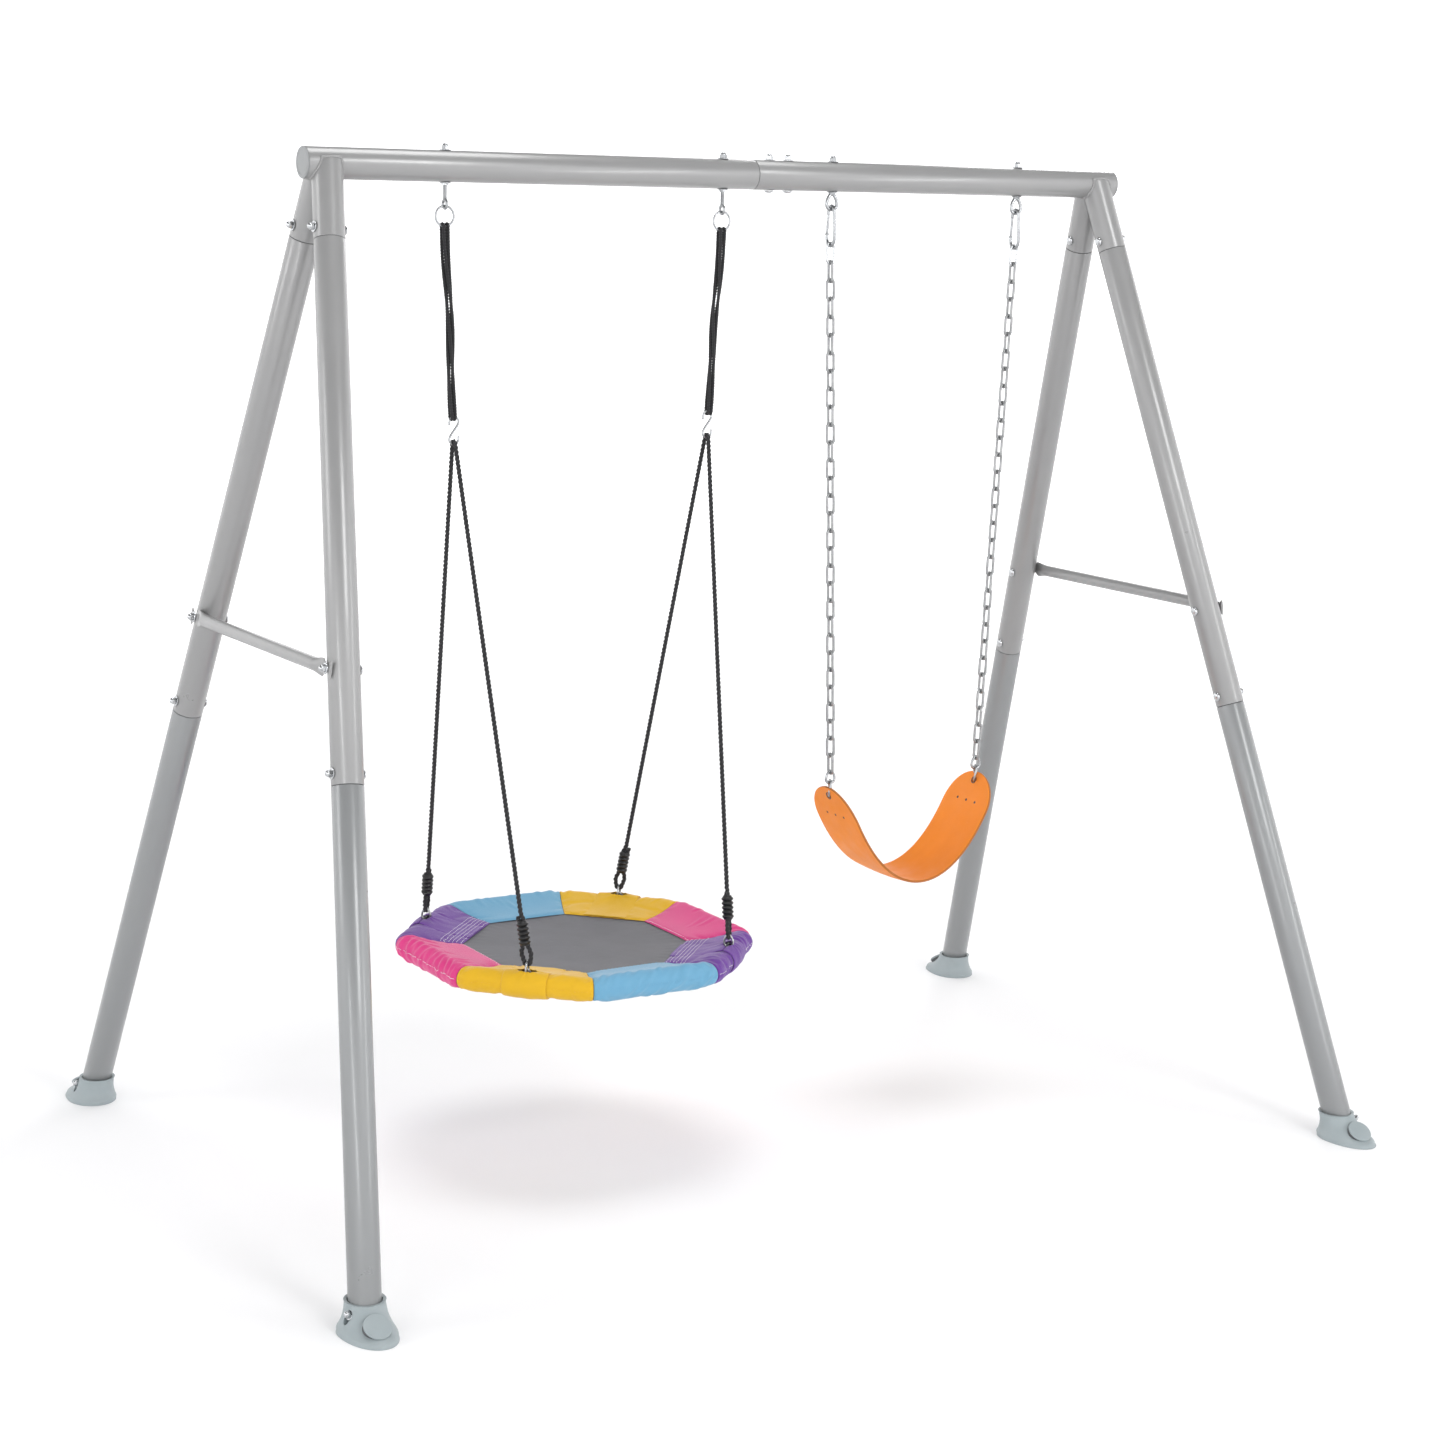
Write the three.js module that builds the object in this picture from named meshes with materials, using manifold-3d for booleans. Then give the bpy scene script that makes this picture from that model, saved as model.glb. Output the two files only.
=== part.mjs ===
// Two-seat garden swing set: an A-frame of steel tubes in bolted sections, a padded
// saucer swing on four ropes, and a flexible belt swing on two chains.
// Millimetres, +Z up. The beam runs along X and the swings move along Y.
// The origin is on the ground, under the middle of the beam.
import * as THREE from "three";
import { mergeVertices } from "three/addons/utils/BufferGeometryUtils.js";
import Module from "manifold-3d";

const wasm = await Module();
wasm.setup();

// ---- driving dimensions -------------------------------------------------------------
const GAP = 0.3; // clearance between pieces that touch
const TUBE_SIDES = 16; // facets round a frame tube
const WIRE_SIDES = 6; // facets round a bent wire
const CORD_SIDES = 8; // facets round a rope or a chain's outline
const TURNED_SIDES = 8; // facets round a fastener

// frame
const BEAM_HEIGHT = 2000; // height of the beam's axis
const BEAM_HALF = 954; // half the beam's length, end caps included
const BEAM_SEAM_X = 30; // where the two beam halves meet
const BEAM_SPIGOT = 120; // length of the left half that slides into the right half
const LEG_TOP_X = 907; // where the legs' plane meets the beam's axis
const LEG_TOP_Y = 8;
const LEG_FOOT_X = 1142; // where a leg's axis meets the ground
const LEG_FOOT_Y = 722;
const TUBE_R = 30;
const TUBE_WALL = 2;
const SPIGOT_R = TUBE_R - TUBE_WALL - GAP;
const SPIGOT_LENGTH = 80;
const SOCKET_LENGTH = 150; // from the beam's axis to the end of a welded socket
const UPPER_LEG_END = 1175; // from the beam's axis to the seam at mid leg
const BOLT_ABOVE_SEAM = 22;
const CROSSBAR_Z = 1100;
const CROSSBAR_R = 12.5;
const CROSSBAR_FLAT = 2.5; // half the thickness of a flattened end
const CROSSBAR_PAD = 17; // half the width of a flattened end

// feet
const FOOT_HEIGHT = 54;
const FOOT_HALF_X = 50;
const FOOT_OUT_Y = 86;
const FOOT_IN_Y = 56;
const FOOT_COLLAR_R = 36.5;
const FOOT_FLOOR = 7;
const FOOT_BOSS_R = 25;
const FOOT_BOSS_OUT = 45; // leg's axis at the ground to the middle of the boss
const FOOT_BOSS_Z = 21;
const FOOT_BOSS_TILT = 0.62;

// fasteners
const BOLT_R = 4; // bolts and eye bolts alike
const BEAM_BOLT_X = [70, 115];

// saucer swing
const SAUCER_EYES_X = [-660, -40];
const EYE_R = 8.5;
const EYE_WIRE_R = 3;
const RING_R = 19.5;
const RING_WIRE_R = 2.2;
const RING_Z = 1906;
const HOOK_TOP_Z = 1522; // top and bottom of the S-hook under each rope loop
const HOOK_BOTTOM_Z = 1468;
const HOOK_BEND_R = 10;
const LINK_WIRE_R = 2.2;
const ROPE_R = 4;
const ROPE_LOOP_R = 9; // the looped rope above the S-hook, strands together
const SAUCER_Z = 430; // height of the saucer's tube
const SAUCER_APOTHEM = 326; // middle of the saucer to the axis of its tube
const SAUCER_TUBE_R = 12.5;
const SLEEVE_R = 24;
const SLEEVE_BORE_R = 14;
const SLOT_LENGTH = 38; // each slot in the sleeve, over a lug
const SLOT_WIDTH = 18;
const MAT_THICKNESS = 4;
const LUG_RISE = 21.5; // tube axis to the middle of a lug's hole
const LUG_WIDTH = 22;
const LUG_THICKNESS = 4;
const SAUCER_LINK_HALF = 9; // half the width of a link
const SAUCER_LINK_TOP = 47; // tube axis to the top wire of a saucer link
const ADJUSTER_LENGTH = 50;
const ADJUSTER_R = 12;
const ADJUSTER_BORE_R = 4.7;
const ADJUSTER_RISE = 53; // along the rope, rope end to the middle of an adjuster

// belt swing
const BELT_EYES_X = [225, 700];
const PEAR_WIRE_Z = 1933; // bottom wire of each pear-shaped eye
const PEAR_WIRE_R = 3.75;
const PEAR_HALF_WIDTH = 12;
const PEAR_HALF_HEIGHT = 16;
const SNAP_WIRE_R = 3.5;
const SNAP_HEIGHT = 82;
const GATE_WIRE_R = 2.8;
const CHAIN_R = 7;
const BELT_SPAN = 387; // between the belt's two holes
const BELT_HOLE_Z = 690;
const BELT_DROP = 200; // belt end to its lowest point, along the middle of the rubber
const BELT_HALF_WIDTH = 82;
const BELT_THICKNESS = 5.5;
const HOLE_TO_END = 20;
const SEAT_LINK_HEIGHT = 52;
const SEAT_LINK_HALF = 19;
const SEAT_LINK_WIRE_R = 3;

// ---- materials ----------------------------------------------------------------------
const finish = (color, roughness, metalness) =>
  () => new THREE.MeshStandardMaterial({ color, roughness, metalness });
const paintedSteel = finish(0xaeb0b2, 0.42, 0.35);
const zinc = finish(0xc4c6c8, 0.3, 0.9);
const footPlastic = finish(0xa9b3b6, 0.55, 0);
const blackPlastic = finish(0x1b1b1d, 0.5, 0);
const blackRope = finish(0x18181a, 0.85, 0);
const bareSteel = finish(0x8e9093, 0.45, 0.8);
const sleeveFabric = finish(0x734196, 0.8, 0);
const matFabric = finish(0x737376, 0.9, 0);
const orangeRubber = finish(0xf5964a, 0.5, 0);

// ---- geometry helpers -----------------------------------------------------------------
const xyz = (x, y, z) => new THREE.Vector3(x, y, z);

// Closed geometry as a solid for joining and cutting.
function solid(geometry) {
  const bare = geometry.clone();
  bare.deleteAttribute("normal");
  bare.deleteAttribute("uv");
  const merged = mergeVertices(bare, 1e-3);
  const corners = merged.index.array;
  const triangles = [];
  for (let i = 0; i < corners.length; i += 3) {
    const [a, b, c] = corners.subarray(i, i + 3);
    if (a !== b && b !== c && c !== a) triangles.push(a, b, c);
  }
  return new wasm.Manifold(new wasm.Mesh({
    numProp: 3,
    vertProperties: merged.attributes.position.array,
    triVerts: new Uint32Array(triangles),
  }));
}

// The surface of a joined or cut solid.
function surface(body) {
  const { vertProperties, triVerts } = body.getMesh();
  const geometry = new THREE.BufferGeometry();
  geometry.setAttribute("position", new THREE.BufferAttribute(vertProperties, 3));
  geometry.setIndex(new THREE.BufferAttribute(triVerts, 1));
  geometry.computeVertexNormals();
  return geometry;
}

const join = (...geometries) => surface(geometries.map(solid).reduce((a, b) => a.add(b)));
const cut = (geometry, ...tools) =>
  surface(tools.map(solid).reduce((a, b) => a.subtract(b), solid(geometry)));

// A profile of [radius, z] points turned about Z.
function turned(profile, sides) {
  const points = profile.map(([r, z]) => new THREE.Vector2(r, z));
  return new THREE.LatheGeometry(points, sides).rotateX(Math.PI / 2);
}

const rod = (r, z0, z1, sides = TUBE_SIDES) => turned([[0, z0], [r, z0], [r, z1], [0, z1]], sides);
const alongX = (geometry) => geometry.rotateY(Math.PI / 2);

function circle(r, sides) {
  const shape = new THREE.Shape();
  for (let i = 0; i < sides; i++) {
    const a = (2 * Math.PI * i) / sides;
    if (i === 0) shape.moveTo(r, 0);
    else shape.lineTo(r * Math.cos(a), r * Math.sin(a));
  }
  return shape;
}

// A round cord or wire along an open curve.
const wire = (path, r, steps, sides) =>
  new THREE.ExtrudeGeometry(circle(r, sides), { steps, extrudePath: path });
const straight = (from, to, r, steps) =>
  wire(new THREE.LineCurve3(from, to), r, steps, CORD_SIDES);

// A round wire along a closed flat curve.
function closedWire(curve, r, steps) {
  const frames = curve.computeFrenetFrames(steps, true);
  const rings = [];
  for (let i = 0; i <= steps; i++) {
    const middle = curve.getPointAt((i % steps) / steps);
    const ring = [];
    for (let j = 0; j < WIRE_SIDES; j++) {
      const a = (2 * Math.PI * j) / WIRE_SIDES;
      const k = i % steps;
      ring.push(middle.clone()
        .addScaledVector(frames.normals[k], r * Math.cos(a))
        .addScaledVector(frames.binormals[k], r * Math.sin(a)));
    }
    rings.push(ring);
  }
  return loft(rings, false);
}

// A skin through rings of points. Each ring turns anticlockwise about the way they advance.
function loft(rings, capped = true) {
  const count = rings[0].length;
  const index = [];
  for (let i = 0; i + 1 < rings.length; i++) {
    for (let j = 0; j < count; j++) {
      const k = (j + 1) % count;
      const [a, b] = [i * count + j, i * count + k];
      const [c, d] = [a + count, b + count];
      index.push(a, b, d, a, d, c);
    }
  }
  if (capped) {
    const last = (rings.length - 1) * count;
    for (let j = 1; j + 1 < count; j++) {
      index.push(0, j + 1, j, last, last + j, last + j + 1);
    }
  }
  const geometry = new THREE.BufferGeometry().setFromPoints(rings.flat());
  geometry.setIndex(index);
  geometry.computeVertexNormals();
  return geometry;
}

const object = new THREE.Group();

function piece(name, geometry, material, parent = object) {
  const mesh = new THREE.Mesh(geometry, material());
  mesh.name = name;
  parent.add(mesh);
  return mesh;
}

// ---- fasteners ------------------------------------------------------------------------
// A bolt along +Z with a domed head under the grip and a flanged cap nut above it.
function boltWithCapNut(gripStart, gripEnd) {
  const head = gripStart - GAP;
  const nut = gripEnd + GAP;
  return turned([
    [0, head - 6], [7, head - 4.5], [10.5, head], [BOLT_R, head],
    [BOLT_R, nut], [11, nut], [7.5, nut + 2], [7.5, nut + 8], [0, nut + 13.5],
  ], TURNED_SIDES);
}

// The part of an eye bolt that goes up through the beam, with its nuts; z is from the beam's axis.
function eyeBoltShank(bottom) {
  const under = -TUBE_R - GAP;
  const over = TUBE_R + GAP;
  return turned([
    [0, bottom], [BOLT_R, bottom], [BOLT_R, under - 3], [8, under - 2], [8, under], [BOLT_R, under],
    [BOLT_R, over], [12, over], [9, over + 3], [9, over + 9], [0, over + 17],
  ], TURNED_SIDES);
}

// ---- frame ----------------------------------------------------------------------------
const tilt = Math.atan((LEG_FOOT_X - LEG_TOP_X) / BEAM_HEIGHT);
const planeLength = BEAM_HEIGHT / Math.cos(tilt);
const splay = Math.atan((LEG_FOOT_Y - LEG_TOP_Y) / planeLength);
const dropPerLength = Math.cos(tilt) * Math.cos(splay);
const sides = [["left", -1], ["right", 1]];
const ends = [["front", -1], ["back", 1]];

// The plane of one A-frame: -Z runs down the plane, side * X points away from the swings.
function sideGroup(side) {
  const group = new THREE.Group();
  group.position.set(side * LEG_TOP_X, 0, BEAM_HEIGHT);
  group.rotation.y = -side * tilt;
  return group;
}

// The axis of one leg inside that plane: -Z runs down the leg.
function legGroup(end) {
  const group = new THREE.Group();
  group.position.y = end * LEG_TOP_Y;
  group.rotation.x = end * splay;
  return group;
}

function legMatrix(side, end) {
  const plane = sideGroup(side);
  const leg = legGroup(end);
  plane.add(leg);
  leg.updateWorldMatrix(true, false);
  return leg.matrixWorld;
}

const boltHole = (z) => alongX(rod(BOLT_R + 3 * GAP, -TUBE_R - 5, TUBE_R + 5, 6)).translate(0, 0, z);
const upHole = (x) => rod(BOLT_R + 3 * GAP, -TUBE_R - 5, TUBE_R + 5, 6).translate(x, 0, BEAM_HEIGHT);

// One half of the beam with its two welded leg sockets.
function beamHalf(side, tubes, bores, holes) {
  const onAxis = (geometry) => alongX(geometry).translate(0, 0, BEAM_HEIGHT);
  const socket = (geometry, end) => geometry.applyMatrix4(legMatrix(side, end));
  const boltAt = -SOCKET_LENGTH + BOLT_ABOVE_SEAM;
  const skin = onAxis(rod(TUBE_R, ...(side < 0 ? [-BEAM_HALF, 0] : [0, BEAM_HALF])));
  const outside = tubes.map((tube) => solid(onAxis(rod(...tube))));
  const inside = bores.map((bore) => solid(onAxis(rod(...bore))));
  for (const [, end] of ends) {
    outside.push(solid(socket(rod(TUBE_R, -SOCKET_LENGTH, 0), end)));
    const bore = solid(socket(rod(TUBE_R - TUBE_WALL, -SOCKET_LENGTH - 1, -10), end));
    inside.push(bore.subtract(solid(skin)));
    inside.push(solid(socket(boltHole(boltAt), end)));
  }
  holes.forEach((x) => inside.push(solid(upHole(x))));
  const whole = outside.reduce((a, b) => a.add(b));
  return surface(inside.reduce((a, b) => a.subtract(b), whole));
}

const CAP_FLANGE = 3;
const beamEnd = BEAM_HALF - CAP_FLANGE - GAP;
const boreR = TUBE_R - TUBE_WALL;
const spigotBoreR = SPIGOT_R - TUBE_WALL;
piece("beam_left", beamHalf(-1,
  [[TUBE_R, -beamEnd, BEAM_SEAM_X - GAP], [SPIGOT_R, 0, BEAM_SEAM_X + BEAM_SPIGOT]],
  [[boreR, -beamEnd - 1, BEAM_SEAM_X - 10], [spigotBoreR, 0, BEAM_SEAM_X + BEAM_SPIGOT + 1]],
  [...SAUCER_EYES_X, ...BEAM_BOLT_X]), paintedSteel);
piece("beam_right", beamHalf(1,
  [[TUBE_R, BEAM_SEAM_X, beamEnd]],
  [[boreR, BEAM_SEAM_X - 1, beamEnd + 1]],
  [...BEAM_BOLT_X, ...BELT_EYES_X]), paintedSteel);

for (const [sideName, side] of sides) {
  const cap = turned([
    [0, -18], [boreR - GAP, -18], [boreR - GAP, 0], [TUBE_R, 0], [TUBE_R, CAP_FLANGE], [0, CAP_FLANGE],
  ], TUBE_SIDES);
  cap.rotateY((side * Math.PI) / 2).translate(side * (BEAM_HALF - CAP_FLANGE), 0, BEAM_HEIGHT);
  piece(`beam_cap_${sideName}`, cap, footPlastic);
}
BEAM_BOLT_X.forEach((x, i) => {
  const bolt = boltWithCapNut(-TUBE_R, TUBE_R).translate(x, 0, BEAM_HEIGHT);
  piece(`beam_bolt_${["inner", "outer"][i]}`, bolt, zinc);
});

// A leg tube with a reduced spigot at its top that slides up into the piece above.
function legTube(top, bottom, holes) {
  const walls = turned([
    [TUBE_R - TUBE_WALL, bottom], [TUBE_R, bottom], [TUBE_R, top], [SPIGOT_R, top],
    [SPIGOT_R, top + SPIGOT_LENGTH], [spigotBoreR, top + SPIGOT_LENGTH], [spigotBoreR, top - 4],
    [TUBE_R - TUBE_WALL, top - 8], [TUBE_R - TUBE_WALL, bottom],
  ], TUBE_SIDES);
  return cut(walls, ...holes.map(boltHole));
}

const crossbarAt = -(BEAM_HEIGHT - CROSSBAR_Z) / dropPerLength;
const legSin = Math.sqrt(1 - dropPerLength ** 2);
const legBottom = -(BEAM_HEIGHT - FOOT_FLOOR - GAP - TUBE_R * legSin) / dropPerLength;

// A moulded shoe: an oval skirt that rises to a collar round the leg, with a round boss outside.
function foot(side, end) {
  const slopeX = (LEG_FOOT_X - LEG_TOP_X) / BEAM_HEIGHT;
  const slopeY = (LEG_FOOT_Y - LEG_TOP_Y) / BEAM_HEIGHT;
  // height, share of the way from the skirt's outline to the collar's
  const levels = [[0, 0], [7, 0.02], [14, 0.3], [24, 0.66], [36, 0.9], [FOOT_HEIGHT, 1]];
  const points = 16;
  const rings = levels.map(([z, share]) => {
    const ring = [];
    for (let i = 0; i < points; i++) {
      const a = (2 * Math.PI * i) / points;
      const halfY = Math.sin(a) * end > 0 ? FOOT_OUT_Y : FOOT_IN_Y;
      const rx = THREE.MathUtils.lerp(FOOT_HALF_X, FOOT_COLLAR_R, share);
      const ry = THREE.MathUtils.lerp(halfY, FOOT_COLLAR_R, share);
      ring.push(xyz(rx * Math.cos(a) - side * slopeX * z, ry * Math.sin(a) - end * slopeY * z, z));
    }
    return ring;
  });
  const boss = rod(FOOT_BOSS_R, -14, 5, 12).rotateX(-end * FOOT_BOSS_TILT)
    .translate(0, end * FOOT_BOSS_OUT, FOOT_BOSS_Z);
  const trimBelow = rod(200, -60, 0, 8);
  const place = (geometry) => geometry.translate(side * LEG_FOOT_X, end * LEG_FOOT_Y, 0);
  const shoe = place(cut(join(loft(rings), boss), trimBelow));
  const bore = rod(TUBE_R + GAP, legBottom - GAP, legBottom + 200).applyMatrix4(legMatrix(side, end));
  return cut(shoe, bore);
}

// A tube with flattened, rounded ends, along Y in the plane of the A-frame.
function crossbar(side) {
  const boltY = LEG_TOP_Y - crossbarAt * Math.sin(splay);
  const x = side * (TUBE_R + GAP + CROSSBAR_FLAT);
  // distance past the bolt, half thickness, half width
  const stations = [
    [17, CROSSBAR_FLAT, 4], [14, CROSSBAR_FLAT, 10], [8, CROSSBAR_FLAT, 15.5],
    [0, CROSSBAR_FLAT, CROSSBAR_PAD], [-20, CROSSBAR_FLAT, CROSSBAR_PAD], [-40, 8, 15],
    [-58, CROSSBAR_R, CROSSBAR_R],
  ];
  const half = stations.map(([past, thick, wide]) => [boltY + past, thick, wide]);
  const whole = [...half, ...half.map(([y, thick, wide]) => [-y, thick, wide]).reverse()];
  const rings = whole.map(([y, thick, wide]) => {
    const ring = [];
    for (let i = 0; i < 10; i++) {
      const a = (2 * Math.PI * i) / 10;
      ring.push(xyz(x + thick * Math.cos(a), y, wide * Math.sin(a)));
    }
    return ring;
  });
  const holes = [-boltY, boltY].map((y) => boltHole(0).translate(x, y, 0));
  return cut(loft(rings), ...holes).translate(0, 0, crossbarAt * Math.cos(splay));
}

for (const [sideName, side] of sides) {
  const plane = sideGroup(side);
  object.add(plane);
  piece(`crossbar_${sideName}`, crossbar(side), paintedSteel, plane);
  for (const [endName, end] of ends) {
    const place = `${endName}_${sideName}`;
    const leg = legGroup(end);
    plane.add(leg);
    const socketEnd = -SOCKET_LENGTH - GAP;
    const middle = -UPPER_LEG_END;
    const socketBolt = -SOCKET_LENGTH + BOLT_ABOVE_SEAM;
    const middleBolt = middle + BOLT_ABOVE_SEAM;
    const upper = legTube(socketEnd, middle, [socketBolt, middleBolt, crossbarAt]);
    const lower = legTube(middle - GAP, legBottom, [middleBolt]);
    piece(`upper_leg_${place}`, upper, paintedSteel, leg);
    piece(`lower_leg_${place}`, lower, paintedSteel, leg);
    const outward = (geometry) => geometry.rotateY((side * Math.PI) / 2);
    const socketBoltPiece = outward(boltWithCapNut(-TUBE_R, TUBE_R)).translate(0, 0, socketBolt);
    piece(`socket_bolt_${place}`, socketBoltPiece, zinc, leg);
    const plateOutside = TUBE_R + 2 * (GAP + CROSSBAR_FLAT);
    const barBolt = outward(boltWithCapNut(-TUBE_R, plateOutside)).translate(0, 0, crossbarAt);
    piece(`crossbar_bolt_${place}`, barBolt, zinc, leg);
    piece(`foot_${place}`, foot(side, end), footPlastic);
  }
}

// ---- eye bolts --------------------------------------------------------------------------
class FlatLoop extends THREE.Curve {
  constructor(shape, upright) {
    super();
    this.shape = shape;
    this.upright = upright;
  }
  getPoint(t, target = new THREE.Vector3()) {
    const [across, z] = this.shape(2 * Math.PI * t);
    return this.upright === "x" ? target.set(across, 0, z) : target.set(0, across, z);
  }
}
const round = (r) => (a) => [r * Math.sin(a), -r * Math.cos(a)];
// Wide and round at the bottom, narrow at the top.
const pear = (halfWidth, halfHeight) => (a) =>
  [halfWidth * Math.sin(a) * (1 + 0.3 * Math.cos(a)), -halfHeight * Math.cos(a)];

const ringTopZ = RING_Z + RING_R;
const saucerEyeZ = ringTopZ - RING_WIRE_R - GAP - EYE_WIRE_R + EYE_R;
SAUCER_EYES_X.forEach((x, i) => {
  const eye = closedWire(new FlatLoop(round(EYE_R), "y"), EYE_WIRE_R, 16).translate(0, 0, saucerEyeZ);
  const shank = eyeBoltShank(saucerEyeZ + EYE_R - BEAM_HEIGHT).translate(0, 0, BEAM_HEIGHT);
  piece(`eye_bolt_saucer_${sides[i][0]}`, join(shank, eye).translate(x, 0, 0), zinc);
});
BELT_EYES_X.forEach((x, i) => {
  const middle = PEAR_WIRE_Z + PEAR_HALF_HEIGHT;
  const outline = new FlatLoop(pear(PEAR_HALF_WIDTH, PEAR_HALF_HEIGHT), "x");
  const eye = closedWire(outline, PEAR_WIRE_R, 18).translate(0, 0, middle);
  const shank = eyeBoltShank(middle + PEAR_HALF_HEIGHT - BEAM_HEIGHT).translate(0, 0, BEAM_HEIGHT);
  piece(`eye_bolt_belt_${sides[i][0]}`, join(shank, eye).translate(x, 0, 0), zinc);
});

// ---- saucer swing -----------------------------------------------------------------------
const saucerX = (SAUCER_EYES_X[0] + SAUCER_EYES_X[1]) / 2;
const corner = SAUCER_APOTHEM / Math.SQRT2; // lugs stand at (+-corner, +-corner) from the middle
const ringBottomZ = RING_Z - RING_R - RING_WIRE_R;
const lugZ = SAUCER_Z + LUG_RISE;
// The ropes run in one line from the rings to the middle of each pair of lugs.
const ropeX = (side, z) => {
  const eyeX = (SAUCER_EYES_X[1] - SAUCER_EYES_X[0]) / 2;
  const share = (ringBottomZ - z) / (ringBottomZ - lugZ);
  return saucerX + side * THREE.MathUtils.lerp(eyeX, corner, share);
};
const ropeEndZ = SAUCER_Z + SAUCER_LINK_TOP + LINK_WIRE_R + GAP;

// A wire bent to an S: its upper bend hangs in the rope loop, and its lower bend holds the rope.
function sHook() {
  const r = HOOK_BEND_R;
  const middle = (HOOK_TOP_Z + HOOK_BOTTOM_Z) / 2;
  const half = (HOOK_TOP_Z - HOOK_BOTTOM_Z) / 2;
  // across, above the middle: from the open end, over the bend and down to the middle
  const upper = [
    [-r, half - r - 5], [-r, half - r], [-0.7 * r, half - 0.3 * r], [0, half],
    [0.7 * r, half - 0.3 * r], [r, half - r], [0.6 * r, 0.3 * half],
  ];
  const lower = upper.map(([x, z]) => [-x, -z]).reverse();
  const points = [...upper, ...lower].map(([x, z]) => xyz(x, 0, middle + z));
  const path = new THREE.CatmullRomCurve3(points);
  return wire(path, LINK_WIRE_R, 28, WIRE_SIDES);
}

for (const [sideName, side] of sides) {
  const eyeX = ropeX(side, ringBottomZ);
  const ring = closedWire(new FlatLoop(round(RING_R), "x"), RING_WIRE_R, 24).translate(eyeX, 0, RING_Z);
  piece(`hanger_ring_${sideName}`, ring, zinc);
  const loopTop = ringBottomZ - GAP;
  const loopBottom = HOOK_TOP_Z + LINK_WIRE_R + GAP + 1;
  const loopFrom = xyz(eyeX, 0, loopTop - 1);
  const loopTo = xyz(ropeX(side, loopBottom), 0, loopBottom);
  piece(`rope_loop_${sideName}`, straight(loopFrom, loopTo, ROPE_LOOP_R, 4), blackRope);
  const hookX = ropeX(side, HOOK_BOTTOM_Z);
  piece(`s_hook_${sideName}`, sHook().translate(hookX, 0, 0), zinc);

  // One rope goes over the bottom wire of the S-hook and down to two lugs.
  const bend = LINK_WIRE_R + GAP + ROPE_R;
  const foldZ = HOOK_BOTTOM_Z;
  const rise = foldZ - ropeEndZ;
  const ropeAngle = Math.atan(corner / rise) - Math.asin(bend / Math.hypot(corner, rise));
  const leave = (end) => xyz(hookX, end * bend * Math.cos(ropeAngle), foldZ + bend * Math.sin(ropeAngle));
  const over = new THREE.CatmullRomCurve3([0, 0.25, 0.5, 0.75, 1].map((share) => {
    const a = THREE.MathUtils.lerp(ropeAngle, Math.PI - ropeAngle, share);
    return xyz(hookX, bend * Math.cos(a), foldZ + bend * Math.sin(a));
  }));
  const ropeEnd = (end) => xyz(saucerX + side * corner, end * corner, ropeEndZ);
  const runs = ends.map(([, end]) => straight(leave(end), ropeEnd(end), ROPE_R, 4));
  piece(`saucer_rope_${sideName}`, join(wire(over, ROPE_R, 6, CORD_SIDES), ...runs), blackRope);

  for (const [endName, end] of ends) {
    const place = `${endName}_${sideName}`;
    const up = leave(end).sub(ropeEnd(end)).normalize();
    const half = ADJUSTER_LENGTH / 2;
    const outline = [[ADJUSTER_BORE_R, -half], [ADJUSTER_R - 2, -half]];
    const ribs = 3;
    for (let i = 0; i < ribs; i++) {
      const z = -half + 4 + (i * (ADJUSTER_LENGTH - 8)) / ribs;
      const width = (ADJUSTER_LENGTH - 8) / ribs;
      outline.push([ADJUSTER_R, z + 1], [ADJUSTER_R, z + width - 4], [ADJUSTER_R - 2, z + width - 2]);
    }
    outline.push([ADJUSTER_R - 3, half], [ADJUSTER_BORE_R, half], [ADJUSTER_BORE_R, -half]);
    const adjuster = piece(`rope_adjuster_${place}`, turned(outline, TURNED_SIDES), blackPlastic);
    adjuster.position.copy(ropeEnd(end)).addScaledVector(up, ADJUSTER_RISE);
    adjuster.quaternion.setFromUnitVectors(xyz(0, 0, 1), up);

    // The link stands across the saucer's tube, with its bottom wire through the lug's hole.
    const linkBottom = LUG_RISE;
    const high = (SAUCER_LINK_TOP - linkBottom) / 2;
    const saucerLink = closedWire(new FlatLoop(pear(SAUCER_LINK_HALF, high), "y"), LINK_WIRE_R, 16);
    const linkMesh = piece(`saucer_link_${place}`, saucerLink, zinc);
    linkMesh.position.set(saucerX + side * corner, end * corner, SAUCER_Z + linkBottom + high);
    linkMesh.rotation.z = Math.atan2(end, side) + Math.PI / 2;
  }
}

// An eight-sided ring whose flat sides face X, Y and the diagonals. The section's points are
// [outward, up] from the tube's axis, anticlockwise.
const MITRE = Math.cos(Math.PI / 8);
function octagonRing(section) {
  const points = [...section, section[0]].map(
    ([out, up]) => new THREE.Vector2((SAUCER_APOTHEM + out) / MITRE, up));
  const ring = new THREE.LatheGeometry(points, 8, Math.PI / 8).rotateX(Math.PI / 2);
  return ring.translate(saucerX, 0, SAUCER_Z);
}
function roundSection(r, count) {
  return Array.from({ length: count }, (_, i) => {
    const a = (2 * Math.PI * (i + 0.5)) / count - Math.PI;
    return [r * Math.cos(a), r * Math.sin(a)];
  });
}

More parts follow.
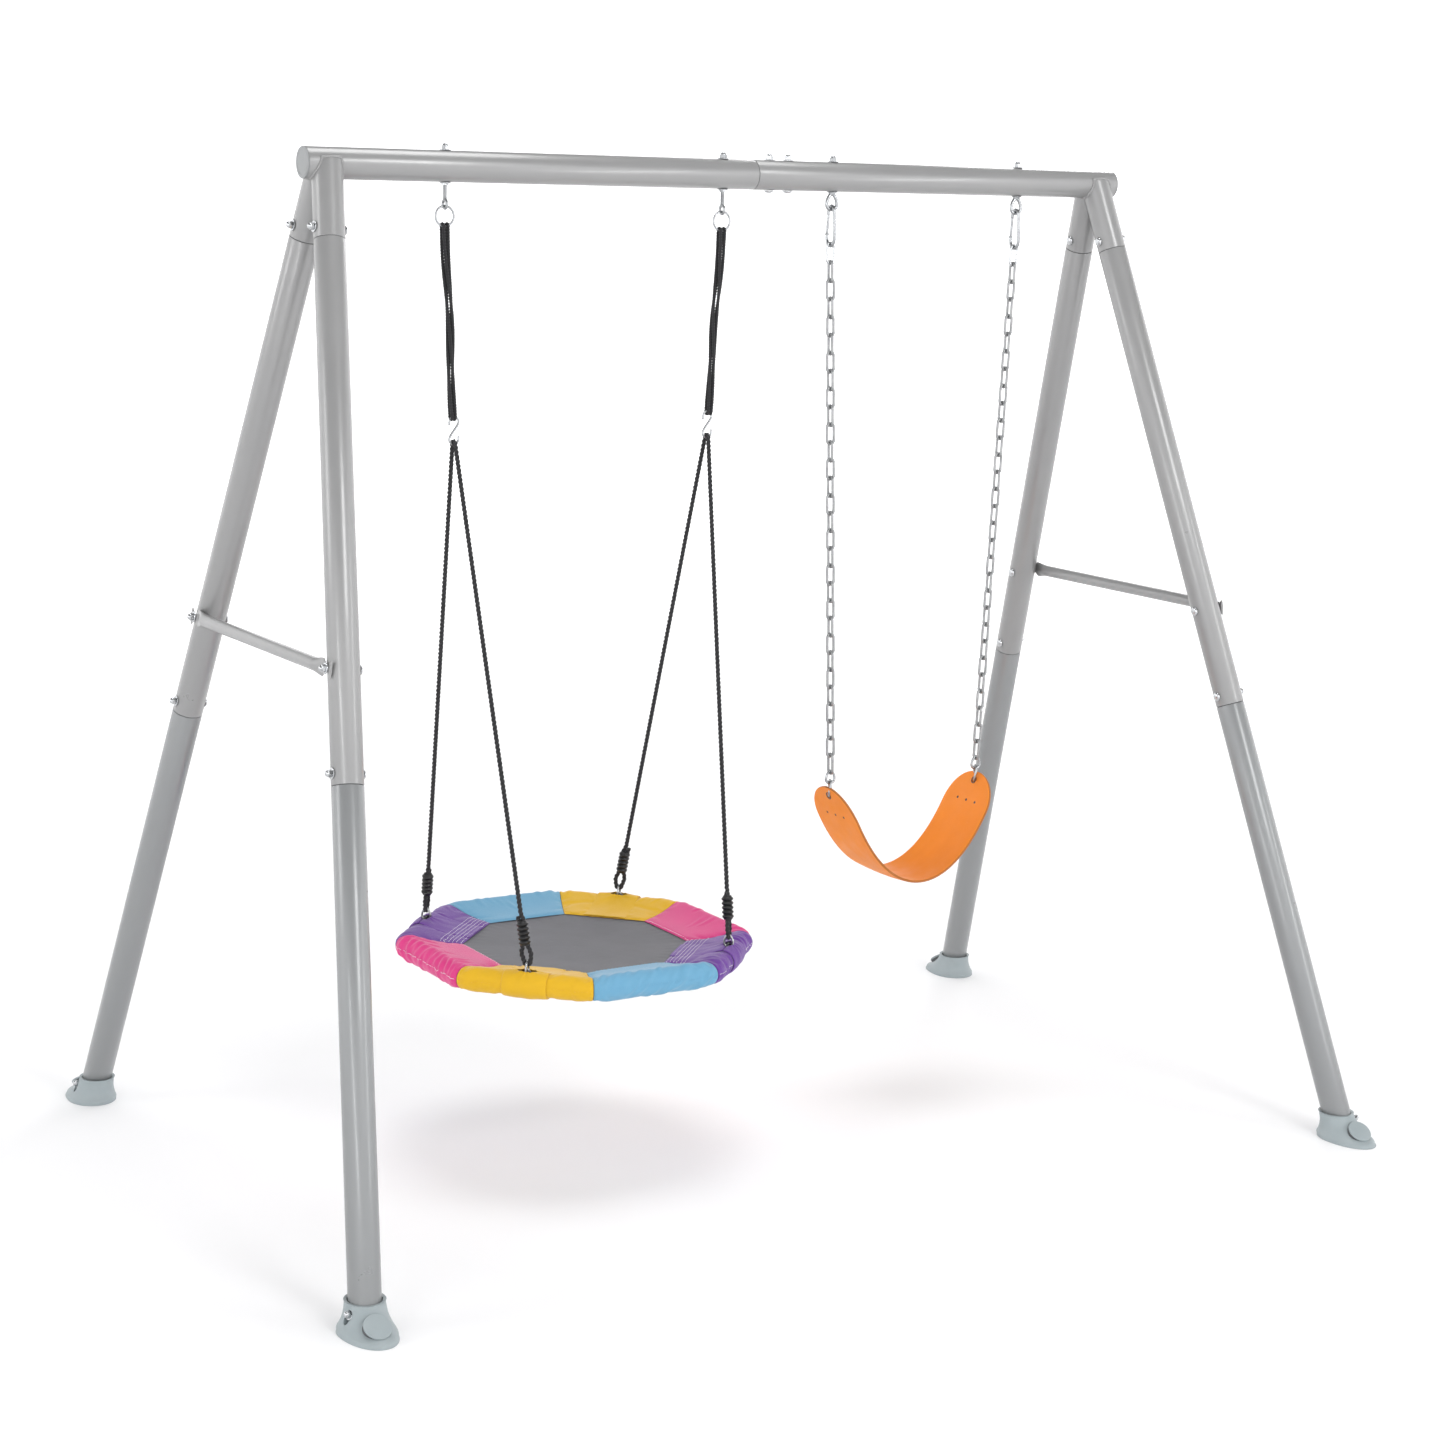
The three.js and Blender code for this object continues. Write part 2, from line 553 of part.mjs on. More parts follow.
// At each lug: a shape made upright at the middle, moved out to the tube and turned to follow it.
const atLugs = (make) => [1, 3, 5, 7].map((i) => {
  const a = (i * Math.PI) / 4;
  return make().rotateZ(a + Math.PI / 2)
    .translate(saucerX + SAUCER_APOTHEM * Math.cos(a), SAUCER_APOTHEM * Math.sin(a), SAUCER_Z);
});
function lug() {
  const half = LUG_WIDTH / 2;
  const foot = SAUCER_TUBE_R - 4.5; // the plate starts inside the tube
  const arcZ = LUG_RISE - 3;
  const plate = new THREE.Shape().moveTo(-half, foot).lineTo(half, foot).lineTo(half, arcZ);
  plate.absarc(0, arcZ, half, 0, Math.PI).closePath();
  plate.holes.push(new THREE.Path().absarc(0, LUG_RISE, LINK_WIRE_R + 1.5, 0, 2 * Math.PI, true));
  const settings = { depth: LUG_THICKNESS, bevelEnabled: false, curveSegments: 5 };
  const geometry = new THREE.ExtrudeGeometry(plate, settings);
  return geometry.translate(0, 0, -LUG_THICKNESS / 2).rotateX(Math.PI / 2);
}
const slot = () => new THREE.BoxGeometry(SLOT_LENGTH, SLOT_WIDTH, SLEEVE_R + 4)
  .translate(0, 0, SLEEVE_R / 2 + 2);
const sleeveBore = octagonRing(roundSection(SLEEVE_BORE_R, 12));
piece("saucer_tube", join(octagonRing(roundSection(SAUCER_TUBE_R, 12)), ...atLugs(lug)), bareSteel);
const sleeve = octagonRing(roundSection(SLEEVE_R, 14));
piece("saucer_sleeve", cut(sleeve, sleeveBore, ...atLugs(slot)), sleeveFabric);
// The mat reaches the sleeve on every side. Its border is covered in the sleeve's fabric.
const matR = (SAUCER_APOTHEM - SLEEVE_R - GAP) / MITRE;
const mat = new THREE.CylinderGeometry(matR, matR, MAT_THICKNESS, 8, 1, false, Math.PI / 8)
  .rotateX(Math.PI / 2);
piece("saucer_mat", mat.translate(saucerX, 0, SAUCER_Z), matFabric);

// ---- belt swing ---------------------------------------------------------------------------
const beltX = (BELT_EYES_X[0] + BELT_EYES_X[1]) / 2;
const snapTop = PEAR_WIRE_Z + PEAR_WIRE_R + GAP + SNAP_WIRE_R;
const snapBottom = snapTop - SNAP_HEIGHT;
const GATE_TILT = 0.1; // lean of the closed gate
const GATE_PIVOT = [14, 24]; // from the bottom wire: across, up
const GATE_LENGTH = 37;

// The hook is open on the side where the gate closes it.
function snapHook(x) {
  // across, above the bottom wire: from the gate's pivot round to the nose
  const outline = [
    [GATE_PIVOT[0], 22], [13.5, 12], [8, 3], [0, 0], [-8, 3], [-13.5, 12], [-14.5, 28], [-12.5, 53],
    [-10.2, 72], [-6.8, 79], [0, SNAP_HEIGHT], [6.8, 79], [10.2, 72.5], [11, 66],
  ];
  const path = new THREE.CatmullRomCurve3(outline.map(([y, z]) => xyz(x, y, snapBottom + z)));
  return wire(path, SNAP_WIRE_R, 26, WIRE_SIDES);
}

function gate(x) {
  const [y, z] = GATE_PIVOT;
  const from = xyz(x, y, snapBottom + z + SNAP_WIRE_R);
  const lean = xyz(0, -Math.sin(GATE_TILT), Math.cos(GATE_TILT));
  const to = from.clone().addScaledVector(lean, GATE_LENGTH);
  return straight(from, to, GATE_WIRE_R, 1);
}

const seatLinkTopZ = BELT_HOLE_Z + SEAT_LINK_HEIGHT;
BELT_EYES_X.forEach((x, i) => {
  const [sideName, side] = sides[i];
  piece(`snap_hook_${sideName}`, snapHook(x), zinc);
  piece(`snap_gate_${sideName}`, gate(x), zinc);
  const holeX = beltX + side * BELT_SPAN / 2;
  const chainTop = xyz(x, 0, snapBottom - SNAP_WIRE_R - 1);
  const chainBottom = xyz(holeX, 0, seatLinkTopZ + SEAT_LINK_WIRE_R + 1);
  piece(`chain_${sideName}`, straight(chainTop, chainBottom, CHAIN_R, 6), bareSteel);

  // shares of the half width and the height, from the top wire round
  const corners = [
    [0, 1], [0.62, 0.45], [1, 0.06], [0.75, -0.05], [0, 0], [-0.75, -0.05], [-1, 0.06], [-0.62, 0.45],
  ];
  const triangle = new THREE.CatmullRomCurve3(
    corners.map(([across, up]) => xyz(across * SEAT_LINK_HALF, 0, up * SEAT_LINK_HEIGHT)), true);
  const seatLink = closedWire(triangle, SEAT_LINK_WIRE_R, 22).translate(holeX, 0, BELT_HOLE_Z);
  piece(`seat_link_${sideName}`, seatLink, zinc);
});

// The belt hangs in a catenary. Its scale is found so that it drops BELT_DROP in half the span.
function catenaryScale(halfSpan, drop) {
  let [low, high] = [halfSpan / 6, halfSpan * 6];
  for (let i = 0; i < 60; i++) {
    const c = (low + high) / 2;
    if (c * (Math.cosh(halfSpan / c) - 1) > drop) low = c;
    else high = c;
  }
  return low;
}
const beltScale = catenaryScale(BELT_SPAN / 2, BELT_DROP);
const holeArc = beltScale * Math.sinh(BELT_SPAN / 2 / beltScale);
const beltArc = holeArc + HOLE_TO_END; // half the belt's length
const beltBottomZ = BELT_HOLE_Z - BELT_DROP;

function beltSection(arc) {
  const x = beltScale * Math.asinh(arc / beltScale);
  const z = beltBottomZ + beltScale * (Math.cosh(x / beltScale) - 1);
  const along = xyz(1, 0, Math.sinh(x / beltScale)).normalize();
  return { middle: xyz(beltX + x, 0, z), up: xyz(-along.z, 0, along.x) };
}

function beltSeat() {
  const steps = 32;
  const rings = [];
  for (let i = 0; i <= steps; i++) {
    const arc = -beltArc * Math.cos((Math.PI * i) / steps);
    const { middle, up } = beltSection(arc);
    const intoEnd = Math.max(0, Math.abs(arc) - (beltArc - BELT_HALF_WIDTH));
    const halfWidth = Math.sqrt(Math.max(BELT_HALF_WIDTH ** 2 - intoEnd ** 2, 36));
    const at = (y, height) => middle.clone().addScaledVector(up, height).setY(y);
    const half = BELT_THICKNESS / 2;
    rings.push([at(-halfWidth, -half), at(halfWidth, -half), at(halfWidth, half), at(-halfWidth, half)]);
  }
  const holes = [-1, 1].map((side) => {
    const { middle, up } = beltSection(side * holeArc);
    return straight(middle.clone().addScaledVector(up, -12), middle.clone().addScaledVector(up, 12), 6, 1);
  });
  return cut(loft(rings), ...holes);
}
piece("belt_seat", beltSeat(), orangeRubber);

export default object;
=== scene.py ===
import math
import random

import bpy
import numpy as np
from mathutils import Matrix, Vector
from mathutils.bvhtree import BVHTree


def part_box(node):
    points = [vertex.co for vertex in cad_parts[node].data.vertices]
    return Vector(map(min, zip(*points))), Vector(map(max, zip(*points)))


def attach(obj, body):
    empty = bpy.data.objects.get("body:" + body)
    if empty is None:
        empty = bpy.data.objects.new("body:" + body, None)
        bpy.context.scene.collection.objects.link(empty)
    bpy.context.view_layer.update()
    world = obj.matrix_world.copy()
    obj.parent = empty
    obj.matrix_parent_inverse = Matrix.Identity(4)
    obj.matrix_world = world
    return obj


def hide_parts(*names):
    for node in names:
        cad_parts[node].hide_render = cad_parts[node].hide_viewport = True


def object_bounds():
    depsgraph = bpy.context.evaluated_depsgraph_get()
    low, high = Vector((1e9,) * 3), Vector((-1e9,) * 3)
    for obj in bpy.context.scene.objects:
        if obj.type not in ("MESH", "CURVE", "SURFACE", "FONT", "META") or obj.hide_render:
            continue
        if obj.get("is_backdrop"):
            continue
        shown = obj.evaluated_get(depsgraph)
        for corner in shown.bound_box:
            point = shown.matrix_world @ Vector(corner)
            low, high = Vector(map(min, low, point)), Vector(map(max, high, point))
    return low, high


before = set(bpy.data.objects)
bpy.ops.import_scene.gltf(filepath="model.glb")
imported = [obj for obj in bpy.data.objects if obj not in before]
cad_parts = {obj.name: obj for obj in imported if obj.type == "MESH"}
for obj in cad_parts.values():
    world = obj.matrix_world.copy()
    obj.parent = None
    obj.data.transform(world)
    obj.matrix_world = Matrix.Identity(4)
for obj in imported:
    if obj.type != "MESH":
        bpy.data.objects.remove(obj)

cad_lo, cad_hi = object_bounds()
MM = 0.001
X, Y, Z = Vector((1, 0, 0)), Vector((0, 1, 0)), Vector((0, 0, 1))
SIDES = (("left", -1), ("right", 1))
ENDS = (("front", -1), ("back", 1))
rng = random.Random(7)

# ---- camera ----
CAMERA_AT = Vector((-3.0727, -5.0302, 1.9826))
CAMERA_YAW, CAMERA_PITCH, CAMERA_ROLL = map(math.radians, (58.64, -10.71, 1.4955))
camera = bpy.data.objects.new("camera", bpy.data.cameras.new("camera"))
camera.data.sensor_width = 36
camera.data.lens = 71.08
bpy.context.scene.collection.objects.link(camera)
bpy.context.scene.camera = camera
ahead = Vector((math.cos(CAMERA_PITCH) * math.cos(CAMERA_YAW),
                math.cos(CAMERA_PITCH) * math.sin(CAMERA_YAW), math.sin(CAMERA_PITCH)))
level = Vector((math.sin(CAMERA_YAW), -math.cos(CAMERA_YAW), 0))
above = level.cross(ahead)
to_right = math.cos(CAMERA_ROLL) * level + math.sin(CAMERA_ROLL) * above
to_top = -math.sin(CAMERA_ROLL) * level + math.cos(CAMERA_ROLL) * above
camera.matrix_world = Matrix.Translation(CAMERA_AT) @ Matrix(
    (to_right, to_top, -ahead)).transposed().to_4x4()


# ---- shapes: every shape is (vertices, faces) ----
def angles(count):
    """Angles round a circle."""
    return [2 * math.pi * i / count for i in range(count)]


def moved(shape, matrix):
    return [matrix @ Vector(v) for v in shape[0]], shape[1]


def merged(*shapes):
    vertices, faces = [], []
    for v, f in shapes:
        start = len(vertices)
        vertices += list(v)
        faces += [tuple(i + start for i in face) for face in f]
    return vertices, faces


def facing(direction, at=Vector()):
    """The matrix that takes +Z to direction and the origin to at."""
    return Matrix.Translation(at) @ Z.rotation_difference(Vector(direction)).to_matrix().to_4x4()


def loft(rings, closed=False, capped=True):
    """A skin through rings of points that turn anticlockwise about the way they advance."""
    count = len(rings[0])
    vertices = [p for ring in rings for p in ring]
    faces = []
    for i in range(len(rings) if closed else len(rings) - 1):
        a, b = i * count, (i + 1) % len(rings) * count
        faces += [(a + j, a + (j + 1) % count, b + (j + 1) % count, b + j) for j in range(count)]
    if capped and not closed:
        last = (len(rings) - 1) * count
        faces += [tuple(reversed(range(count))), tuple(range(last, last + count))]
    return vertices, faces


def turned(profile, sides=40):
    """A profile of (radius, z) about Z, from its low end on the axis round to its high end."""
    vertices, faces, previous = [], [], None
    for r, z in profile:
        start = len(vertices)
        if r == 0:
            vertices.append(Vector((0, 0, z)))
            row = [start] * sides
        else:
            vertices += [Vector((r * math.cos(a), r * math.sin(a), z)) for a in angles(sides)]
            row = list(range(start, start + sides))
        if previous:
            for j in range(sides):
                k = (j + 1) % sides
                face = (previous[j], previous[k], row[k], row[j])
                faces.append(tuple(dict.fromkeys(face)))
        previous = row
    return vertices, faces


def frames_along(points, closed):
    """Directions along a path and a pair of axes across it that don't twist."""
    count = len(points)
    along = []
    for i in range(count):
        a = points[i - 1] if i or closed else points[0]
        b = points[(i + 1) % count] if i + 1 < count or closed else points[-1]
        along.append((b - a).normalized())
    across = along[0].orthogonal().normalized()
    axes = []
    for d in along:
        across = (across - d * across.dot(d)).normalized()
        axes.append((across, d.cross(across)))
    return along, axes


def tube(points, radius, sides=14, closed=False, domed=False):
    """A round wire along points. radius is a number or a function of the share of the way."""
    points = [Vector(p) for p in points]
    along, axes = frames_along(points, closed)
    size = radius if callable(radius) else lambda share: radius
    rings = []

    def ring(middle, r, axis):
        return [middle + r * (math.cos(a) * axis[0] + math.sin(a) * axis[1]) for a in angles(sides)]

    for i, p in enumerate(points):
        rings.append(ring(p, size(i / (len(points) - 1)), axes[i]))
    if domed:
        def cap(i, way):
            r = size(0 if i == 0 else 1)
            return [ring(points[i] + way * along[i] * r * math.sin(a), r * math.cos(a), axes[i])
                    for a in (0.45, 0.9, 1.3)]
        rings = cap(0, -1)[::-1] + rings + cap(len(points) - 1, 1)
    return loft(rings, closed)


def smooth_path(corners, steps, closed=False):
    """Points along a Catmull-Rom curve through corners, evenly spaced."""
    corners = [Vector(c) for c in corners]
    count = len(corners)
    fine = []
    for i in range(count if closed else count - 1):
        p1, p2 = corners[i], corners[(i + 1) % count]
        p0 = corners[i - 1] if i or closed else 2 * p1 - p2
        p3 = corners[(i + 2) % count] if i + 2 < count or closed else 2 * p2 - p1
        for k in range(24):
            t = k / 24
            fine.append(0.5 * (2 * p1 + (p2 - p0) * t + (2 * p0 - 5 * p1 + 4 * p2 - p3) * t * t
                               + (3 * p1 - p0 - 3 * p2 + p3) * t ** 3))
    fine.append(corners[0] if closed else corners[-1])
    return respaced(fine, steps)[:-1] if closed else respaced(fine, steps)


def respaced(points, steps):
    """steps + 1 points at equal distances along a line of points."""
    reach = [0.0]
    for a, b in zip(points, points[1:]):
        reach.append(reach[-1] + (b - a).length)
    result, k = [], 0
    for i in range(steps + 1):
        target = reach[-1] * i / steps
        while k + 2 < len(points) and reach[k + 1] < target:
            k += 1
        share = (target - reach[k]) / max(reach[k + 1] - reach[k], 1e-12)
        result.append(points[k].lerp(points[k + 1], min(max(share, 0), 1)))
    return result


def hexagon(flats, z0, z1, chamfer=0.0008):
    """A hexagonal bar along Z with both ends chamfered."""
    corner = flats / math.sqrt(3)
    levels = ((corner - chamfer, z0), (corner, z0 + chamfer / 2), (corner, z1 - chamfer / 2),
              (corner - chamfer, z1))
    return loft([[Vector((r * math.cos(a * math.pi / 3), r * math.sin(a * math.pi / 3), z))
                  for a in range(6)] for r, z in levels])


def dome(r, z, height, sides=32):
    """A domed cap on the plane z."""
    arc = [(r * math.cos(a * math.pi / 16), z + height * math.sin(a * math.pi / 16)) for a in range(8)]
    return turned([(0, z)] + arc + [(0, z + height)], sides)


def disc(r, z0, z1, edge=0.0005, sides=40):
    """A flat round plate with rounded edges."""
    return turned([(0, z0), (r - edge, z0), (r - edge * 0.3, z0 + edge * 0.3), (r, z0 + edge),
                   (r, z1 - edge), (r - edge * 0.3, z1 - edge * 0.3), (r - edge, z1), (0, z1)], sides)


def mesh_of(name, shape, uvs=None):
    mesh = bpy.data.meshes.new(name)
    mesh.from_pydata([tuple(v) for v in shape[0]], [], shape[1])
    if uvs:
        layer = mesh.uv_layers.new(name="uv")
        for loop in mesh.loops:
            layer.data[loop.index].uv = uvs[loop.vertex_index]
    mesh.validate()
    return mesh


def show(name, shape, look, body, nodes=(), uvs=None, sharp=35):
    """A visible piece of the object, in the place of the CAD nodes it stands for."""
    mesh = mesh_of(name, shape, uvs)
    mesh.materials.append(look)
    mesh.shade_smooth()
    mesh.set_sharp_from_angle(angle=math.radians(sharp))
    return place(linked(name, mesh), body, nodes)


def linked(name, data):
    obj = bpy.data.objects.new(name, data)
    bpy.context.scene.collection.objects.link(obj)
    return obj


def place(obj, body, nodes=()):
    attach(obj, body)
    if nodes:
        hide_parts(*nodes)
    return obj


def applied(obj):
    """Replaces obj's mesh with the one its modifiers make."""
    shaped = bpy.data.meshes.new_from_object(
        obj.evaluated_get(bpy.context.evaluated_depsgraph_get()))
    obj.modifiers.clear()
    obj.data = shaped


def cut_away(obj, shape):
    """Cuts a shape out of obj."""
    cutter = linked("cutter", mesh_of("cutter", shape))
    cut = obj.modifiers.new("cut", "BOOLEAN")
    cut.operation, cut.object, cut.solver = "DIFFERENCE", cutter, "EXACT"
    applied(obj)
    bpy.data.objects.remove(cutter)


def thicken(obj, thickness, offset, finer=True):
    """Gives a sheet its thickness, and one subdivision."""
    thick = obj.modifiers.new("thickness", "SOLIDIFY")
    thick.thickness, thick.offset = thickness, offset
    if finer:
        fine = obj.modifiers.new("fine", "SUBSURF")
        fine.levels = fine.render_levels = 1


# ---- materials ----
def linear(hex_color):
    parts = [int(hex_color[i:i + 2], 16) / 255 for i in (1, 3, 5)]
    return [p / 12.92 if p <= 0.04045 else ((p + 0.055) / 1.055) ** 2.4 for p in parts] + [1]


class Look:
    """A node material. Textures read the object's own metres, or the fabric's, from its UV map."""

    def __init__(self, name, color, roughness, metallic=0.0, **settings):
        self.material = bpy.data.materials.new(name)
        self.material.use_nodes = True
        self.tree = self.material.node_tree
        self.surface = self.tree.nodes["Principled BSDF"]
        self.color, self.roughness = linear(color), roughness
        self.set("Base Color", self.color)
        self.set("Roughness", roughness)
        self.set("Metallic", metallic)
        for key, value in settings.items():
            self.set(key.replace("_", " "), value)
        self.height = None
        self.place = self.node("ShaderNodeTexCoord")

    def set(self, key, value):
        self.surface.inputs[key].default_value = value

    def node(self, kind, inputs=(), **settings):
        node = self.tree.nodes.new(kind)
        for key, value in settings.items():
            setattr(node, key, value)
        for key, value in dict(inputs).items():
            if isinstance(value, bpy.types.NodeSocket):
                self.tree.links.new(value, node.inputs[key])
            else:
                node.inputs[key].default_value = value
        return node

    def noise(self, scale, detail=4.0, rough=0.55, stretch=None, uv=False):
        where = self.place.outputs["UV" if uv else "Object"]
        if stretch:
            where = self.node("ShaderNodeMapping", {"Vector": where, "Scale": stretch}).outputs[0]
        return self.node("ShaderNodeTexNoise", {
            "Vector": where, "Scale": scale, "Detail": detail, "Roughness": rough}).outputs["Fac"]

    def spread(self, value, low, high, start=0.3, end=0.7):
        return self.node("ShaderNodeMapRange", {
            "Value": value, "From Min": start, "From Max": end, "To Min": low, "To Max": high,
        }).outputs["Result"]

    def vary_roughness(self, value, amount):
        result = self.spread(value, self.roughness - amount, self.roughness + amount)
        self.tree.links.new(result, self.surface.inputs["Roughness"])
        return self

    def tint(self, factor, color):
        """Mixes color over what the base colour is so far."""
        base = self.surface.inputs["Base Color"]
        below = base.links[0].from_socket if base.links else self.color
        mix = self.node("ShaderNodeMix", data_type="RGBA")
        for socket, value in ((mix.inputs[0], factor), (mix.inputs[6], below), (mix.inputs[7], color)):
            if isinstance(value, bpy.types.NodeSocket):
                self.tree.links.new(value, socket)
            else:
                socket.default_value = value
        self.tree.links.new(mix.outputs[2], base)
        return self

    def raise_by(self, value, distance, strength=1.0):
        """Adds a height to the bump."""
        inputs = {"Height": value, "Distance": distance, "Strength": strength}
        if self.height:
            inputs["Normal"] = self.height
        self.height = self.node("ShaderNodeBump", inputs).outputs["Normal"]
        self.tree.links.new(self.height, self.surface.inputs["Normal"])
        return self

    def threads(self, pitch, along):
        """Rows of threads across the UV map's first or second direction."""
        turn = self.node("ShaderNodeTexWave", {
            "Vector": self.place.outputs["UV"], "Scale": 0.314 / pitch * 0.5,
            "Distortion": 0.6, "Detail": 1.0, "Detail Scale": 3.0,
        }, wave_type="BANDS", bands_direction=along, wave_profile="SIN")
        return turn.outputs["Fac"]


def painted(name, color, roughness=0.34):
    look = Look(name, color, roughness, 0.2, Coat_Weight=0.4, Coat_Roughness=0.16)
    look.vary_roughness(look.noise(9, 6), 0.07)
    look.tint(look.spread(look.noise(5, 5), 0.0, 0.16), linear("#7c7d7f"))
    scuffs = look.noise(60, 8, 0.7, stretch=(1.0, 1.0, 0.3))
    look.tint(look.spread(scuffs, 0.0, 0.12, 0.66, 0.8), linear("#b4b5b6"))
    return look.raise_by(look.noise(700, 2), 0.00005, 0.5).material


def metal(name, color, roughness, mottle, dark="#6f7073"):
    look = Look(name, color, roughness, 1.0)
    look.vary_roughness(look.noise(160, 5), 0.09)
    look.tint(look.spread(look.noise(mottle, 6, 0.65), 0.0, 0.5, 0.42, 0.75), linear(dark))
    return look.raise_by(look.noise(900, 3), 0.0001, 0.35).material


def molded(name, color, roughness, grain=0.00012):
    look = Look(name, color, roughness)
    look.vary_roughness(look.noise(30, 5), 0.06)
    look.tint(look.spread(look.noise(18, 6), 0.0, 0.12), linear("#b9bdbf"))
    return look.raise_by(look.noise(1300, 2), grain, 0.6).material


def fabric(name, color, pitch, dark, sheen=0.25):
    look = Look(name, color, 0.72, Sheen_Weight=sheen, Sheen_Roughness=0.4)
    weft, warp = look.threads(pitch, "X"), look.threads(pitch, "Y")
    weave = look.node("ShaderNodeMath", {0: weft, 1: warp}, operation="MULTIPLY").outputs[0]
    look.tint(look.spread(weave, 0.22, 0.0, 0.1, 0.6), linear(dark))
    look.tint(look.spread(look.noise(14, 5, 0.6, uv=True), 0.0, 0.16), linear(dark))
    look.raise_by(look.noise(70, 4, 0.6, uv=True), 0.0012, 0.35)
    return look.raise_by(weave, 0.00025, 0.7).material


def roping(name, color):
    look = Look(name, color, 0.8, Sheen_Weight=0.12, Sheen_Roughness=0.5)
    look.tint(look.spread(look.noise(420, 4, 0.7), 0.0, 0.4), linear("#35353a"))
    return look.raise_by(look.noise(1500, 3), 0.0003, 0.8).material


def rubber(name, color, dark):
    look = Look(name, color, 0.5, Specular_IOR_Level=0.28)
    look.vary_roughness(look.noise(24, 6), 0.1)
    look.tint(look.spread(look.noise(16, 6, 0.65), 0.0, 0.22), linear(dark))
    look.tint(look.spread(look.noise(210, 8, 0.75), 0.0, 0.16, 0.62, 0.75), linear("#ffe0c0"))
    return look.raise_by(look.noise(1100, 3), 0.00018, 0.5).material


paint_top = painted("paint_top", "#8f8f8f")
paint_low = painted("paint_low", "#868889")
cap_plastic = molded("cap_plastic", "#8a8c8d", 0.45)
foot_plastic = molded("foot_plastic", "#929c9f", 0.5)
# Dark grey that stands for painted shade, inside the tube joints and under the foot plugs' rims.
painted_gap_shade = molded("painted_gap_shade", "#4a4c4e", 0.7)
black_plastic = Look("black_plastic", "#0e0e10", 0.42)
black_plastic.vary_roughness(black_plastic.noise(60, 5), 0.08)
black_plastic = black_plastic.raise_by(black_plastic.noise(1300, 2), 0.00012, 0.6).material
zinc = metal("zinc", "#c6c8ca", 0.24, 90, "#7c7e81")
zinc_wire = metal("zinc_wire", "#acaeb0", 0.3, 60, "#68696c")
chain_metal = metal("chain_metal", "#a4a5a6", 0.5, 45, "#77797b")
first_link_metal = metal("first_link_metal", "#c6c8ca", 0.26, 60)
bare_steel = metal("bare_steel", "#77797c", 0.5, 40, "#4b4c4e")
rope_black = roping("rope_black", "#121214")
belt_rubber = rubber("belt_rubber", "#e58420", "#c46614")
belt_edge = rubber("belt_edge", "#a9652c", "#7c4518")
# Dark brown for the rings round and in the belt's holes.
hole_dark_rim = molded("hole_dark_rim", "#3c2a20", 0.5)
COLORS = {
    "pink": fabric("fabric_pink", "#d8337f", 0.0011, "#a01a60"),
    "yellow": fabric("fabric_yellow", "#d8a900", 0.0011, "#c39600"),
    "blue": fabric("fabric_blue", "#6a9fbb", 0.0011, "#3f86b2"),
    "purple": fabric("fabric_purple", "#632f92", 0.0011, "#3c1a5c"),
}
mat_weave = fabric("mat_weave", "#6c6c71", 0.0022, "#333336", 0.05)
thread_white = fabric("thread_white", "#f4f2f4", 0.0006, "#cfcdd2", 0.3)


# ---- positions from the frame ----
def corners_of(node):
    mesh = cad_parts[node].data
    points = np.empty(len(mesh.vertices) * 3)
    mesh.vertices.foreach_get("co", points)
    return points.reshape(-1, 3)


def axis_of(node, towards, slack=0.0006):
    """The two ends of a long turned CAD node's axis, low end first along towards."""
    points = corners_of(node)
    middle = (points.max(0) + points.min(0)) / 2
    axis = np.linalg.svd(points - points.mean(0), full_matrices=False)[2][0]
    if axis @ np.array(towards) < 0:
        axis = -axis
    reach = (points - middle) @ axis
    low, high = points[reach < reach.min() + slack], points[reach > reach.max() - slack]
    return Vector(low.mean(0)), Vector(high.mean(0))


def middle_of(node):
    lo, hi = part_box(node)
    return (lo + hi) / 2


cap_lo, cap_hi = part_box("beam_cap_right")
TUBE_R = (cap_hi.z - cap_lo.z) / 2
BEAM_Z = (cap_hi.z + cap_lo.z) / 2
CAP_FLANGE = 3 * MM
CUT_EDGE = 0.8 * MM  # rounding of a sawn tube end
GAP = 0.3 * MM


def pipe(low, high, r, look, name, body, nodes=(), sides=64):
    """A tube between two points with eased ends, closed inside where it isn't seen."""
    length = (high - low).length
    e = CUT_EDGE
    profile = [(0, 0), (r - e, 0), (r - 0.3 * e, 0.3 * e), (r, e), (r, length / 2), (r, length - e),
               (r - 0.3 * e, length - 0.3 * e), (r - e, length), (0, length)]
    return show(name, moved(turned(profile, sides), facing(high - low, low)), look, body, nodes)


# ---- fasteners ----
WASHER_R, WASHER_THICK, NUT_FLATS = 10.8 * MM, 1.7 * MM, 13 * MM


def cap_nut(seat, direction, turn=0.0):
    """A washer, a hexagon and a dome that stand on seat."""
    stack = merged(disc(WASHER_R, 0, WASHER_THICK), hexagon(NUT_FLATS, WASHER_THICK, 8.2 * MM),
                   dome(6 * MM, 8.1 * MM, 5.6 * MM))
    return moved(stack, facing(direction, seat) @ Matrix.Rotation(turn, 4, "Z"))


def round_head(seat, direction):
    """The low domed head of a carriage bolt."""
    arc = [(9.8 * MM * math.cos(a * math.pi / 12), 4.8 * MM * math.sin(a * math.pi / 12) + 0.6 * MM)
           for a in range(6)]
    head = turned([(0, 0), (9.6 * MM, 0), (9.8 * MM, 0.3 * MM)] + arc + [(0, 5.4 * MM)], 40)
    return moved(head, facing(direction, seat))


def bolt(name, head_seat, nut_seat, body, nodes=()):
    """A carriage bolt through a tube: head at one seat and cap nut at the other."""
    way = (nut_seat - head_seat).normalized()
    shape = merged(round_head(head_seat, -way), cap_nut(nut_seat, way, rng.uniform(0, 1)))
    return show(name, shape, zinc, body, nodes)


def bolt_of(node, outward, name):
    """The bolt that a CAD bolt stands for, with its nut on the outward side."""
    low, high = axis_of(node, outward)
    way = (high - low).normalized()
    return bolt(name, low + way * 5.7 * MM, high - way * 13.5 * MM, "frame", (node,))


